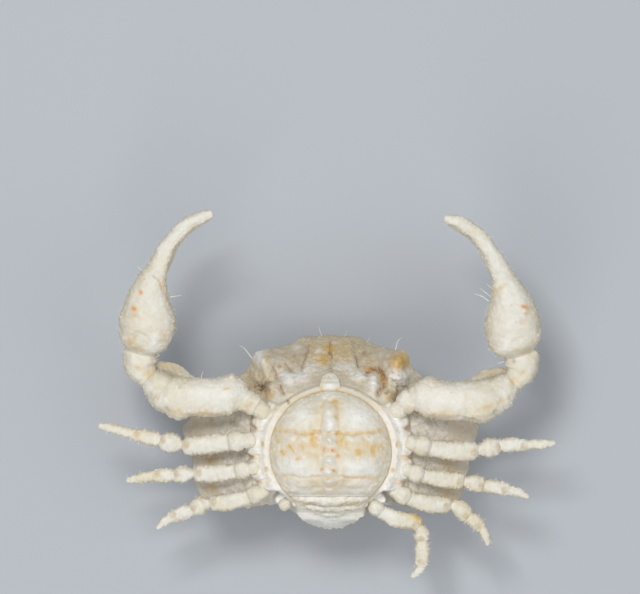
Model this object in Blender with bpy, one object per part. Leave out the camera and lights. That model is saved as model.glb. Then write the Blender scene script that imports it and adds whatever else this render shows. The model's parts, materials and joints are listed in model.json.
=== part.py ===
"""A dried pebble crab lying on its back, belly up, as one part made of its own shell pieces.

Run it with: blender --background --python part.py

Axes: +Z is up and is the belly side, +Y points to the crab's front, and left and right are the
crab's own, so its left side lies at +X. Shapes are drawn in millimetres for a carapace 29.7 mm
wide, and UNIT turns them into metres. The last step moves everything so that the origin is the
middle of the bottom of the whole crab's box.
"""

import math

import bmesh
import bpy
import numpy as np
from mathutils import Vector

# Driving dimensions, in millimetres
CARAPACE_WIDTH = 29.7
DRAWN_WIDTH = 29.7
UNIT = 0.001 * CARAPACE_WIDTH / DRAWN_WIDTH
JOINT_GAP = 0.2
END_ROUNDING = 0.36

# Heights above the floor of the main levels of the belly side
CHEST_HEIGHT = 12.6
RIM_HEIGHT = 13.5
BASIN_HEIGHT = 12.1
CHEST_DROP_AT_TAIL = 2.7
FLANK_RISE = 3.4

# The round middle of the belly, which the abdomen covers
BELLY_CENTRE_Y = -1.1
BELLY_RADIUS = 7.15
CHEST_REACH = 7.3
CHEST_REACH_AT_TAIL = 6.45
RIM_INNER = 6.15
RIM_OUTER = 6.61
BASIN_RADIUS = 6.04
TELSON_SLOT_HALF_WIDTH = 1.4
TELSON_SLOT_END_Y = 6.9

# The abdomen's domed plate and what joins it before and behind
ABDOMEN_RADIUS = 5.85
ABDOMEN_REAR_Y = -5.45
ABDOMEN_UNDERSIDE = 12.42
ABDOMEN_TOP = 15.4
ABDOMEN_REAR_SLOPE = 1.3
ABDOMEN_GROOVES = ((0.95, 0.22), (-1.3, 0.08), (-3.6, 0.2))
TAIL_SEGMENTS = (
    ("tail_segment_1", -5.98, 12.75, 3.65, 0.36),
    ("tail_segment_2", -6.68, 11.9, 3.5, 0.3),
    ("tail_segment_3", -7.25, 11.0, 2.5, 0.27),
)
TELSON_ROWS = ((0.0, 4.95, 13.15, 0.95), (0.02, 5.6, 13.15, 1.05), (0.05, 6.75, 12.7, 0.7))

# The outer mouth plates: middle line and half width of the left one
MOUTH_PLATE_ROWS = ((1.15, 9.75, 0.0, 0.95), (1.25, 8.6, 0.0, 1.1), (1.8, 7.3, 0.0, 1.15), (2.3, 6.6, 0.0, 0.8))
MOUTH_PLATE_LIFT = 0.6
MOUTH_PLATE_THICKNESS = 0.9

# The carapace's edge on the crab's left, from the front to the tail: x, y and the edge's height
HALF_EDGE = (
    (0.0, 10.4, 3.4),
    (2.8, 10.2, 3.9),
    (4.2, 9.5, 5.6),
    (6.3, 9.0, 8.6),
    (7.5, 8.8, 9.5),
    (8.2, 7.2, 9.0),
    (9.4, 6.1, 8.5),
    (11.5, 5.3, 8.1),
    (13.2, 4.2, 8.0),
    (13.9, 2.5, 7.9),
    (14.85, 1.0, 7.8),
    (14.2, -0.8, 7.9),
    (13.9, -2.2, 8.0),
    (13.6, -4.3, 8.2),
    (12.8, -6.1, 8.4),
    (11.4, -7.0, 8.6),
    (8.6, -6.8, 8.4),
    (5.2, -6.5, 8.0),
    (3.8, -7.1, 8.2),
    (2.5, -8.2, 8.6),
    (1.1, -8.85, 8.8),
    (0.0, -8.95, 8.8),
)

# Rings of the body's mesh from its edge inwards. Above 1 a ring lies between the belly circle
# and the edge, and at 1 or less it is a circle about the middle of the belly.
VENTRAL_RINGS = (2.0, 1.93, 1.8, 1.62, 1.42, 1.2, 1.03, 0.995, 0.935, 0.923, 0.862, 0.845, 0.45, 0.0)
DORSAL_RINGS = (2.0, 1.93, 1.85, 1.74, 1.61, 1.46, 1.3, 1.15, 0.99, 0.82, 0.64, 0.44, 0.23, 0.0)
BODY_SIDES = 74

# Mesh sides and rings of the limb pieces that don't have 8 and 7, and every piece's thickness
# as a share of its width
PIECE_DETAIL = {"arm": (12, 13), "wrist": (10, 8), "hand": (12, 14), "toe": (7, 6), "arm_base": (8, 6)}
LIMB_DEPTH = 0.88

# Hollows and lumps of the back: x, y, the two widths, and how deep a hollow goes into the shell.
# A lump has a depth below zero. These are the same on both sides.
DORSAL_MARKS = (
    (1.5, 8.6, 1.1, 0.9, -0.8),
    (3.0, 6.5, 1.1, 1.5, 2.3),
    (5.9, 8.0, 1.7, 1.1, 1.5),
    (7.9, 8.5, 0.8, 0.7, -0.8),
    (8.0, 6.1, 0.7, 0.6, 0.7),
    (9.4, 4.2, 1.0, 1.2, 1.5),
    (11.4, 3.9, 0.9, 0.8, -0.6),
    (10.3, 1.1, 0.8, 1.1, 0.9),
    (10.3, -1.9, 0.8, 1.2, 0.9),
    (12.0, -0.7, 1.1, 1.0, 1.1),
    (12.6, -2.6, 0.9, 0.8, -0.6),
    (8.6, -5.1, 1.1, 0.9, 1.1),
    (10.8, -5.6, 1.0, 0.8, -0.5),
    (1.5, -2.1, 0.7, 0.7, 0.7),
    (2.5, -4.5, 1.1, 0.9, 1.7),
    (0.0, -5.4, 1.4, 1.2, -1.0),
    (0.0, -7.5, 2.2, 1.0, -0.7),
)
LOPSIDED_DORSAL_MARKS = (
    (12.0, 1.9, 0.8, 0.8, 0.9),
    (11.4, -4.1, 0.9, 0.8, 0.9),
    (-12.7, 1.4, 1.0, 1.2, 0.8),
    (-6.6, -0.6, 0.8, 0.6, 0.5),
)

# Each limb is a chain of shell pieces. A piece is its middle line, as x, y, height and half width.
RIGHT_CLAW = {
    "hip": ((-6.3, 2.6, 12.3, 0.68), (-7.3, 3.25, 12.3, 0.78)),
    "arm_base": ((-7.3, 3.25, 12.3, 0.8), (-8.55, 4.1, 12.2, 0.98)),
    "arm": (
        (-8.6, 4.2, 12.1, 1.2),
        (-9.9, 4.5, 12.1, 1.9),
        (-12.0, 4.3, 12.2, 1.9),
        (-14.0, 4.3, 12.2, 1.95),
        (-15.1, 4.3, 12.2, 2.1),
        (-16.4, 4.75, 12.0, 1.85),
        (-17.4, 5.55, 11.9, 1.45),
        (-18.2, 6.25, 11.8, 1.0),
    ),
    "wrist": (
        (-18.25, 6.3, 11.7, 1.0),
        (-18.9, 7.2, 11.7, 1.4),
        (-19.05, 8.3, 11.8, 1.5),
        (-19.0, 9.05, 11.9, 1.4),
    ),
    "hand": (
        (-18.95, 9.05, 12.1, 1.9),
        (-18.75, 9.8, 12.3, 2.35),
        (-18.3, 11.4, 12.7, 2.78),
        (-18.22, 12.5, 13.0, 2.7),
        (-18.15, 14.0, 13.5, 2.15),
        (-17.8, 15.7, 14.1, 1.55),
        (-17.2, 17.1, 14.7, 1.02),
        (-16.4, 19.0, 15.3, 0.74),
        (-15.5, 20.2, 15.5, 0.7),
        (-14.3, 21.4, 15.8, 0.7),
        (-12.9, 22.2, 15.9, 0.58),
        (-11.6, 22.6, 15.9, 0.3),
    ),
    "finger": (
        (-17.2, 16.3, 12.0, 0.6),
        (-16.5, 18.0, 12.95, 0.75),
        (-15.6, 19.8, 13.75, 0.68),
        (-14.2, 21.2, 14.2, 0.62),
        (-12.7, 22.0, 14.5, 0.5),
        (-11.8, 22.3, 14.6, 0.25),
    ),
}
LEFT_CLAW = {
    "hip": ((6.3, 2.6, 12.3, 0.68), (7.05, 3.3, 12.3, 0.78)),
    "arm_base": ((7.05, 3.3, 12.3, 0.8), (8.05, 4.2, 12.2, 0.98)),
    "arm": (
        (8.1, 4.3, 12.1, 1.2),
        (9.6, 4.3, 12.1, 1.9),
        (12.0, 3.9, 12.2, 1.92),
        (14.0, 4.0, 12.2, 1.98),
        (15.1, 4.0, 12.2, 2.1),
        (16.4, 4.6, 12.0, 1.8),
        (17.4, 5.2, 11.9, 1.45),
        (18.3, 5.8, 11.8, 1.0),
    ),
    "wrist": (
        (18.35, 5.9, 11.7, 1.0),
        (19.0, 6.9, 11.7, 1.4),
        (19.1, 8.1, 11.8, 1.55),
        (19.0, 8.85, 11.9, 1.45),
    ),
    "hand": (
        (18.75, 8.85, 12.1, 2.0),
        (18.5, 9.7, 12.3, 2.55),
        (18.2, 11.0, 12.6, 2.75),
        (18.1, 12.2, 12.9, 2.65),
        (17.9, 13.8, 13.4, 2.1),
        (17.45, 15.4, 14.0, 1.45),
        (16.9, 16.8, 14.6, 0.98),
        (15.8, 18.9, 15.2, 0.78),
        (14.6, 20.4, 15.5, 0.7),
        (13.3, 21.4, 15.8, 0.64),
        (12.3, 21.9, 15.9, 0.5),
        (11.2, 22.1, 15.9, 0.28),
    ),
    "finger": (
        (16.8, 16.1, 12.0, 0.6),
        (16.1, 17.8, 12.95, 0.75),
        (15.1, 19.5, 13.75, 0.68),
        (13.8, 20.8, 14.2, 0.62),
        (12.4, 21.5, 14.5, 0.5),
        (11.5, 21.8, 14.6, 0.25),
    ),
}
LEGS = {
    "right_leg_1": {
        "hip": ((-7.45, 0.0, 12.2, 0.7), (-8.35, 0.0, 12.2, 0.68), (-10.1, -0.15, 11.7, 0.9)),
        "thigh": ((-10.1, -0.2, 11.6, 0.85), (-12.3, -0.45, 11.1, 1.05), (-14.7, -0.6, 10.6, 1.0)),
        "knee": ((-14.7, -0.5, 10.6, 0.8), (-15.8, -0.3, 10.5, 1.02), (-16.9, -0.15, 10.4, 0.85)),
        "shin": ((-16.9, -0.05, 10.4, 0.68), (-18.4, 0.25, 10.4, 0.75), (-19.9, 0.58, 10.4, 0.55)),
        "toe": ((-19.9, 0.6, 10.4, 0.45), (-21.5, 1.05, 10.5, 0.45), (-23.25, 1.45, 10.6, 0.22)),
    },
    "right_leg_2": {
        "hip": ((-7.1, -2.65, 12.2, 0.6), (-7.95, -2.85, 12.1, 0.55), (-9.4, -3.1, 11.6, 0.8)),
        "thigh": ((-9.4, -3.1, 11.5, 0.75), (-11.5, -3.35, 11.0, 0.9), (-13.55, -3.4, 10.6, 0.85)),
        "knee": ((-13.55, -3.35, 10.6, 0.68), (-14.5, -3.4, 10.5, 0.85), (-15.5, -3.55, 10.4, 0.72)),
        "shin": ((-15.5, -3.55, 10.4, 0.62), (-16.7, -3.55, 10.4, 0.75), (-17.85, -3.6, 10.4, 0.58)),
        "toe": ((-17.85, -3.6, 10.4, 0.45), (-19.2, -3.85, 10.4, 0.42), (-20.5, -4.1, 10.4, 0.15)),
    },
    "right_leg_3": {
        "hip": ((-6.25, -4.85, 12.0, 0.6), (-6.9, -5.15, 11.9, 0.58), (-8.1, -5.6, 11.6, 0.8)),
        "thigh": ((-8.1, -5.65, 11.5, 0.75), (-10.1, -6.2, 11.1, 0.9), (-12.0, -6.35, 10.7, 0.82)),
        "knee": ((-12.0, -6.3, 10.7, 0.7), (-12.9, -6.5, 10.6, 0.92), (-13.75, -6.95, 10.5, 0.75)),
        "shin": ((-13.75, -7.0, 10.5, 0.62), (-15.0, -7.4, 10.4, 0.72), (-16.1, -7.85, 10.4, 0.55)),
        "toe": ((-16.1, -7.85, 10.4, 0.42), (-16.8, -8.35, 10.4, 0.36), (-17.4, -8.95, 10.4, 0.15)),
    },
    "left_leg_1": {
        "hip": ((7.45, -0.15, 12.2, 0.7), (8.2, -0.3, 12.2, 0.68), (9.85, -0.7, 11.7, 0.9)),
        "thigh": ((9.85, -0.8, 11.6, 0.85), (12.2, -1.05, 11.1, 1.05), (14.65, -1.1, 10.6, 1.0)),
        "knee": ((14.65, -1.05, 10.6, 0.8), (15.7, -0.85, 10.5, 1.0), (16.8, -0.6, 10.4, 0.82)),
        "shin": ((16.8, -0.55, 10.4, 0.66), (18.3, -0.5, 10.4, 0.74), (19.8, -0.5, 10.4, 0.55)),
        "toe": ((19.8, -0.5, 10.4, 0.43), (21.2, -0.4, 10.5, 0.42), (22.55, -0.3, 10.6, 0.18)),
    },
    "left_leg_2": {
        "hip": ((7.0, -2.75, 12.2, 0.6), (7.7, -3.0, 12.1, 0.56), (9.1, -3.5, 11.6, 0.8)),
        "thigh": ((9.1, -3.5, 11.5, 0.75), (11.2, -3.9, 11.0, 0.92), (13.25, -4.1, 10.6, 0.85)),
        "knee": ((13.25, -4.15, 10.6, 0.68), (14.3, -4.3, 10.5, 0.86), (15.25, -4.5, 10.4, 0.72)),
        "shin": ((15.25, -4.5, 10.4, 0.62), (16.6, -4.75, 10.4, 0.74), (17.9, -5.0, 10.4, 0.55)),
        "toe": ((17.9, -5.0, 10.4, 0.42), (18.9, -5.3, 10.4, 0.4), (19.9, -5.8, 10.4, 0.15)),
    },
    "left_leg_3": {
        "hip": ((6.1, -4.75, 12.0, 0.6), (6.6, -5.15, 11.9, 0.58), (7.8, -5.8, 11.6, 0.8)),
        "thigh": ((7.8, -5.85, 11.5, 0.75), (9.9, -6.35, 11.1, 0.98), (11.95, -6.5, 10.7, 0.85)),
        "knee": ((11.95, -6.5, 10.7, 0.7), (12.9, -6.85, 10.6, 0.88), (13.7, -7.6, 10.5, 0.72)),
        "shin": ((13.7, -7.6, 10.5, 0.62), (14.5, -8.2, 10.4, 0.74), (15.2, -8.9, 10.4, 0.55)),
        "toe": ((15.2, -8.9, 10.4, 0.42), (15.55, -9.7, 10.4, 0.38), (15.75, -10.6, 10.4, 0.15)),
    },
    "left_leg_4": {
        "hip": ((4.2, -6.15, 11.3, 0.5), (4.45, -6.6, 11.2, 0.62), (4.95, -7.2, 11.0, 0.7)),
        "thigh": ((4.95, -7.2, 10.9, 0.65), (6.6, -7.95, 10.9, 0.88), (8.35, -8.2, 10.7, 0.78)),
        "knee": ((8.85, -8.45, 10.7, 0.62), (9.1, -9.1, 10.6, 0.84), (9.15, -10.0, 10.5, 0.74)),
        "shin": ((9.15, -10.0, 10.5, 0.66), (9.2, -11.4, 10.5, 0.78), (9.1, -12.7, 10.5, 0.6)),
        "toe": ((9.05, -12.75, 10.5, 0.36), (8.6, -13.3, 10.5, 0.32), (8.1, -13.8, 10.5, 0.15)),
    },
}
LEG_STUMP_ROWS = ((-4.35, -6.35, 11.3, 0.45), (-5.1, -6.65, 11.2, 0.55))


def smoothstep(value):
    """0 below 0, 1 above 1 and a smooth rise between."""
    t = np.clip(value, 0.0, 1.0)
    return t * t * (3.0 - 2.0 * t)


def mix(a, b, share):
    """a where share is 0 and b where it is 1."""
    return a + (b - a) * share


def bump(x, y, centre_x, centre_y, width_x, width_y):
    """A round hump of height 1 about a centre."""
    return np.exp(-(((x - centre_x) / width_x) ** 2) - ((y - centre_y) / width_y) ** 2)


def smooth_path(points, steps_per_span=16):
    """Close points along a smooth curve (Catmull-Rom) through the given ones."""
    given = np.array(points, float)
    knots = np.vstack([2 * given[0] - given[1], given, 2 * given[-1] - given[-2]])
    fine = []
    for a, b, c, d in zip(knots, knots[1:], knots[2:], knots[3:]):
        for t in np.arange(steps_per_span) / steps_per_span:
            linear = 2 * b + (c - a) * t
            curved = (2 * a - 5 * b + 4 * c - d) * t**2 + (3 * b - a - 3 * c + d) * t**3
            fine.append(0.5 * (linear + curved))
    return np.array(fine + [given[-1]])


def lengths_along(points):
    """Each point's distance from the first one, along the line through them."""
    steps = np.linalg.norm(np.diff(points, axis=0), axis=1)
    return np.concatenate([[0.0], np.cumsum(steps)])


def whole_edge():
    """The carapace's edge as direction and distance from the belly's middle, and height."""
    left = smooth_path(HALF_EDGE, 10)
    right = left[-2:0:-1] * (-1.0, 1.0, 1.0)
    edge = np.vstack([left, right])
    offset = edge[:, :2] - (0.0, BELLY_CENTRE_Y)
    direction = np.mod(np.arctan2(offset[:, 1], offset[:, 0]), 2 * math.pi)
    order = np.argsort(direction)
    return direction[order], np.hypot(offset[:, 0], offset[:, 1])[order], edge[order, 2]


EDGE_DIRECTION, EDGE_RADIUS, EDGE_HEIGHT = whole_edge()


def edge_at(direction):
    """The edge's radius and height in these directions from the belly's middle."""
    wanted = np.mod(direction, 2 * math.pi)
    radius = np.interp(wanted, EDGE_DIRECTION, EDGE_RADIUS, period=2 * math.pi)
    return radius, np.interp(wanted, EDGE_DIRECTION, EDGE_HEIGHT, period=2 * math.pi)


def edge_directions(count):
    """Directions that part the edge into stretches of equal length."""
    loop = np.column_stack([EDGE_RADIUS * np.cos(EDGE_DIRECTION), EDGE_RADIUS * np.sin(EDGE_DIRECTION)])
    along = lengths_along(np.vstack([loop, loop[:1]]))
    turned = np.concatenate([EDGE_DIRECTION, [EDGE_DIRECTION[0] + 2 * math.pi]])
    return np.interp(np.arange(count) * along[-1] / count, along, turned)


def ventral_height(x, y):
    """Height of the belly side of the body above the floor."""
    out_y = y - BELLY_CENTRE_Y
    radius = np.hypot(x, out_y)
    edge_radius, edge_height = edge_at(np.arctan2(out_y, x))
    share = np.clip(radius / edge_radius, 0.0, 1.0)
    flank = edge_height + FLANK_RISE * (1.0 - share**1.6)
    climb = np.clip((1.0 - share) / 0.43, 0.0, 1.0) ** 0.82
    face = mix(edge_height, CHEST_HEIGHT, climb)
    height = mix(flank, face, smoothstep((out_y / np.maximum(radius, 0.01) - 0.5) / 0.25))
    height = height + 1.1 * bump(abs(x), y, 6.4, 8.0, 1.2, 1.0) * smoothstep((1.0 - share) / 0.1)
    height = height - 0.9 * bump(abs(x), y, 4.9, 6.6, 1.0, 1.3)
    drop = CHEST_DROP_AT_TAIL * smoothstep((-5.2 - y) / 2.2)
    chest = CHEST_HEIGHT - drop
    reach = mix(CHEST_REACH, CHEST_REACH_AT_TAIL, smoothstep((-4.0 - y) / 1.5))
    height = mix(height, np.maximum(height, chest), smoothstep((reach - radius) / 0.2))
    in_slot = (abs(x) < TELSON_SLOT_HALF_WIDTH) & (y > 0.0)
    on_rim = (radius > RIM_INNER - 0.01) & (radius < RIM_OUTER + 0.01) & ~in_slot
    rim = chest + (RIM_HEIGHT - chest) * smoothstep((y + 5.6) / 1.0)
    height = np.where(on_rim, rim, height)
    sunk = (radius < BASIN_RADIUS + 0.01) | (in_slot & (y < TELSON_SLOT_END_Y))
    return np.where(sunk, np.minimum(height, BASIN_HEIGHT - drop), height)


def dorsal_height(x, y):
    """Height of the back of the shell above the floor that it lies on."""
    out_y = y - BELLY_CENTRE_Y
    edge_radius, edge_height = edge_at(np.arctan2(out_y, x))
    share = np.clip(np.hypot(x, out_y) / edge_radius, 0.0, 1.0)
    height = mix(edge_height, 0.6, (1.0 - share**2.7) ** 0.5)
    height = height - 1.6 * bump(abs(x), y, 5.2, 1.2, 3.4, 4.0)
    midline = smoothstep((9.0 - y) / 3.0) * smoothstep((y + 6.0) / 2.0)
    height = height + 1.3 * bump(x, 0.0, 0.0, 0.0, 1.5, 1.0) * midline
    height = height - 0.6 * bump(x, 0.0, 0.0, 0.0, 0.5, 1.0) * smoothstep((y - 1.0) / 2.0)
    for mark_x, mark_y, width_x, width_y, depth in DORSAL_MARKS:
        height = height + depth * bump(abs(x), y, mark_x, mark_y, width_x, width_y)
    for mark_x, mark_y, width_x, width_y, depth in LOPSIDED_DORSAL_MARKS:
        height = height + depth * bump(x, y, mark_x, mark_y, width_x, width_y)
    return np.maximum(height, 0.0)


def body_place(direction, ring_value, belly_side):
    """Where a point of the body's mesh lies, from its direction and its ring."""
    edge_radius, edge_height = edge_at(direction)
    radius = min(ring_value, 1.0) * BELLY_RADIUS
    if ring_value > 1.0:
        radius = mix(BELLY_RADIUS, edge_radius, ring_value - 1.0)
    x = radius * math.cos(direction)
    y = BELLY_CENTRE_Y + radius * math.sin(direction)
    if ring_value >= 2.0:
        return x, y, edge_height
    return x, y, ventral_height(x, y) if belly_side else dorsal_height(x, y)


def ball(sides, rings):
    """A UV sphere, with each vertex's number round it and its ring counted from the low pole."""
    bm = bmesh.new()
    bmesh.ops.create_uvsphere(bm, u_segments=sides, v_segments=rings, radius=1.0)
    numbers = []
    for vertex in bm.verts:
        turn = math.atan2(vertex.co.y, vertex.co.x) / (2 * math.pi) * sides
        level = 0.5 + math.asin(max(-1.0, min(1.0, vertex.co.z))) / math.pi
        numbers.append((round(turn) % sides, round(level * rings)))
    return bm, numbers


def new_material(name, colour, roughness):
    """A plain dry-shell finish."""
    material = bpy.data.materials.new(name)
    material.use_nodes = True
    shader = material.node_tree.nodes["Principled BSDF"]
    shader.inputs["Base Color"].default_value = (*colour, 1.0)
    shader.inputs["Roughness"].default_value = roughness
    shader.inputs["Metallic"].default_value = 0.0
    return material


def add_piece(name, bm, material, collection, datum):
    """Puts a finished mesh in the scene as a named piece, smooth but for its sharp creases."""
    bmesh.ops.scale(bm, vec=(UNIT, UNIT, UNIT), verts=bm.verts)
    bmesh.ops.recalc_face_normals(bm, faces=bm.faces)
    mesh = bpy.data.meshes.new(name)
    bm.to_mesh(mesh)
    bm.free()
    mesh.materials.append(material)
    mesh.shade_smooth()
    mesh.set_sharp_from_angle(angle=math.radians(50))
    piece = bpy.data.objects.new(name, mesh)
    collection.objects.link(piece)
    piece.parent = datum
    return piece


def body_mesh():
    """The carapace and chest, one box of shell: a ball spread out to the edge, back and belly."""
    half = len(VENTRAL_RINGS) - 1
    bm, numbers = ball(BODY_SIDES, 2 * half)
    directions = edge_directions(BODY_SIDES)
    for vertex, (number, level) in zip(bm.verts, numbers):
        ring = level - half
        values = VENTRAL_RINGS if ring > 0 else DORSAL_RINGS
        vertex.co = Vector(body_place(directions[number], values[abs(ring)], ring > 0))
    return bm


def tube_levels(length, cap, rings):
    """How far along a piece each ring lies, closer together in its rounded ends."""
    inner = np.linspace(cap, length - cap, rings - 3)
    return np.concatenate([[0.0, 0.25 * cap], inner, [length - 0.25 * cap, length]])


def limb_mesh(rows, sides, rings, depth):
    """A limb's piece: a ball drawn out along a smooth middle line, with rounded ends."""
    path = smooth_path(rows)
    along = lengths_along(path[:, :3])
    usable = along[-1] - JOINT_GAP
    cap = min(END_ROUNDING * min(rows[0][3], rows[-1][3]), 0.4 * usable)
    levels = tube_levels(usable, cap, rings)
    bm, numbers = ball(sides, rings)
    for vertex, (number, level) in zip(bm.verts, numbers):
        reach = levels[level]
        from_end = min(reach, usable - reach, cap) / cap
        here = np.array([np.interp(reach + 0.5 * JOINT_GAP, along, path[:, k]) for k in range(4)])
        ahead = np.array([np.interp(reach + 0.5 * JOINT_GAP + 0.3, along, path[:, k]) for k in range(3)])
        behind = np.array([np.interp(reach + 0.5 * JOINT_GAP - 0.3, along, path[:, k]) for k in range(3)])
        forward = Vector(ahead - behind).normalized()
        across = forward.cross(Vector((0.0, 0.0, 1.0))).normalized()
        upward = across.cross(forward)
        half_width = here[3] * math.sqrt(1.0 - (1.0 - from_end) ** 2)
        turn = 2 * math.pi * number / sides
        outward = across * math.cos(turn) + upward * (depth * math.sin(turn))
        vertex.co = Vector(here[:3]) + outward * half_width
    return bm


def abdomen_top(x, y):
    """Height of the abdomen's domed plate, with its middle ridge and cross grooves."""
    out_y = y - BELLY_CENTRE_Y
    share = np.clip(np.hypot(x, out_y) / ABDOMEN_RADIUS, 0.0, 1.0)
    height = mix(ABDOMEN_UNDERSIDE + 0.3, ABDOMEN_TOP, (1.0 - share**2.6) ** 0.6)
    height = height + 0.2 * bump(x, 0.0, 0.0, 0.0, 0.9, 1.0) * (1.0 - share**4)
    height = height - ABDOMEN_REAR_SLOPE * smoothstep((-3.6 - y) / 1.9) * (1.0 - share**4)
    for groove_y, depth in ABDOMEN_GROOVES:
        height = height - depth * bump(0.0, y, 0.0, groove_y, 1.0, 0.22) * (1.0 - share**6)
    return height


def abdomen_mesh():
    """The wide round plate of the abdomen: a ball laid along y, flat below and domed above."""
    sides, rings = 28, 18
    front_y = BELLY_CENTRE_Y + ABDOMEN_RADIUS
    bm, numbers = ball(sides, rings)
    for vertex, (number, level) in zip(bm.verts, numbers):
        swing = 0.5 - 0.5 * math.cos(math.pi * level / rings)
        y = mix(ABDOMEN_REAR_Y, front_y, mix(swing, level / rings, 0.6))
        half_width = math.sqrt(max(ABDOMEN_RADIUS**2 - (y - BELLY_CENTRE_Y) ** 2, 0.0))
        if level == 0:
            half_width = 0.0
        turn = 2 * math.pi * number / sides
        x = half_width * math.cos(turn)
        height = abdomen_top(x, y) if math.sin(turn) > 0.01 else ABDOMEN_UNDERSIDE
        if level in (0, rings) or abs(math.sin(turn)) <= 0.01:
            height = ABDOMEN_UNDERSIDE + 0.25
        vertex.co = Vector((x, y, height))
    return bm


def mouth_plate_mesh(side):
    """An outer mouth plate, a thin plate that follows the body's front face. side is 1 on the left."""
    rows = [(side * x, y, z, half_width) for x, y, z, half_width in MOUTH_PLATE_ROWS]
    bm = limb_mesh(rows, 10, 8, 0.3)
    for vertex in bm.verts:
        thickness = MOUTH_PLATE_THICKNESS * (0.5 + 0.5 * vertex.co.z / 0.36)
        face = float(ventral_height(vertex.co.x, vertex.co.y))
        vertex.co.z = face + MOUTH_PLATE_LIFT + thickness
    return bm


def tail_segment_mesh(y, height, half_length, radius):
    """A narrow bar of the tail, bowed a little to the rear, right across the abdomen."""
    ends_forward = 0.35
    rows = [
        (-half_length, y + ends_forward, height - 0.5, 0.8 * radius),
        (0.0, y, height, radius),
        (half_length, y + ends_forward, height - 0.5, 0.8 * radius),
    ]
    return limb_mesh(rows, 8, 8, 0.9)


def add_limb(prefix, chain, material, collection, datum):
    """All the pieces of one limb, each a piece of its own."""
    for name, rows in chain.items():
        sides, rings = PIECE_DETAIL.get(name, (8, 7))
        bm = limb_mesh(rows, sides, rings, LIMB_DEPTH)
        add_piece(f"{prefix}_{name}", bm, material, collection, datum)


def settle_origin(collection, datum):
    """Moves the crab so that the origin is the middle of the bottom of its box."""
    bpy.context.view_layer.update()
    corners = np.array([
        vertex.co[:] for piece in collection.objects if piece.type == "MESH" for vertex in piece.data.vertices
    ])
    low, high = corners.min(axis=0), corners.max(axis=0)
    middle = 0.5 * (low + high)
    datum.location = (-middle[0], -middle[1], -low[2])
    bpy.context.view_layer.update()


def build_crab():
    """Builds the crab in an emptied scene."""
    for old in list(bpy.data.objects):
        bpy.data.objects.remove(old, do_unlink=True)
    collection = bpy.data.collections.new("fossil_crab")
    bpy.context.scene.collection.children.link(collection)
    datum = bpy.data.objects.new("crab_datum", None)
    collection.objects.link(datum)

    shell = new_material("dry_carapace_shell", (0.72, 0.70, 0.63), 0.6)
    plate = new_material("abdomen_plate_shell", (0.76, 0.72, 0.62), 0.5)
    mouth = new_material("mouth_plate_shell", (0.68, 0.52, 0.30), 0.55)
    claw = new_material("claw_shell", (0.74, 0.71, 0.64), 0.5)
    leg = new_material("leg_shell", (0.73, 0.70, 0.63), 0.5)

    add_piece("body_shell", body_mesh(), shell, collection, datum)
    add_piece("abdomen_plate", abdomen_mesh(), plate, collection, datum)
    add_piece("telson", limb_mesh(TELSON_ROWS, 12, 7, 0.45), plate, collection, datum)
    for name, y, height, half_length, radius in TAIL_SEGMENTS:
        bm = tail_segment_mesh(y, height, half_length, radius)
        add_piece(name, bm, plate, collection, datum)
    add_piece("left_mouth_plate", mouth_plate_mesh(1), mouth, collection, datum)
    add_piece("right_mouth_plate", mouth_plate_mesh(-1), mouth, collection, datum)
    add_limb("right_claw", RIGHT_CLAW, claw, collection, datum)
    add_limb("left_claw", LEFT_CLAW, claw, collection, datum)
    for prefix, chain in LEGS.items():
        add_limb(prefix, chain, leg, collection, datum)
    add_piece("right_leg_4_stump", limb_mesh(LEG_STUMP_ROWS, 8, 7, 0.9), leg, collection, datum)
    settle_origin(collection, datum)


build_crab()
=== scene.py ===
"""The look of a dried pebble crab that lies on its back, belly up, on a plain studio floor.

Shapes are drawn in millimetres in the crab's own drawing frame: x runs to the crab's left,
y to its front and z up from the floor to its belly. A Placing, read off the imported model,
turns them into the model's metres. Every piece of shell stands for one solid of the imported
model. The long bristles and the short fuzz stand for none.
"""

import json
import logging
import math
from dataclasses import dataclass, field
from enum import Enum

import bpy
import numpy as np
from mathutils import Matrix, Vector

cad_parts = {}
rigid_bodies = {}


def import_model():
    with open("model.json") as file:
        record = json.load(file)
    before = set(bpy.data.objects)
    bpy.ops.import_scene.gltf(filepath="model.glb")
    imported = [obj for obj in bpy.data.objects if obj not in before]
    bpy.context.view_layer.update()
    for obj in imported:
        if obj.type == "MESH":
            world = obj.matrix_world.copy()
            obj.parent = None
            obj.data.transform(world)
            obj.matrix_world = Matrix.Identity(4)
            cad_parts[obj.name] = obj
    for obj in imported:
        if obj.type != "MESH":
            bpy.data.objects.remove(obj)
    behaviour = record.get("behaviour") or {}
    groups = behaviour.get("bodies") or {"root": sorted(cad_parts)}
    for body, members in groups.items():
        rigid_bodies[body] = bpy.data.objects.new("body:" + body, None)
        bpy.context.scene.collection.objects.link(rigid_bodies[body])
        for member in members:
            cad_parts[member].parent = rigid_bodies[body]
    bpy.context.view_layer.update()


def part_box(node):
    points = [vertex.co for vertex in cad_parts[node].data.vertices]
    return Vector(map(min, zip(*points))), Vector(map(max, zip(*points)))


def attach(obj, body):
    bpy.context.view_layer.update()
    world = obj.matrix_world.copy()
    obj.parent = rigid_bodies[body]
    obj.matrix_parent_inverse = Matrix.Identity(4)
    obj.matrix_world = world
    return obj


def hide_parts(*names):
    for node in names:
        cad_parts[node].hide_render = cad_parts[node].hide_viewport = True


Array = np.ndarray
Row = tuple[float, ...]
Tree = bpy.types.NodeTree
Node = bpy.types.Node
Socket = bpy.types.NodeSocket
Mesh = bpy.types.Mesh
Object = bpy.types.Object
Material = bpy.types.Material

for start_object in list(bpy.data.objects):
    bpy.data.objects.remove(start_object, do_unlink=True)
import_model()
log = logging.getLogger("pebble_crab")

MM = 0.001
BELLY_CENTRE_Y = -1.1
BODY = "root"


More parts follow.
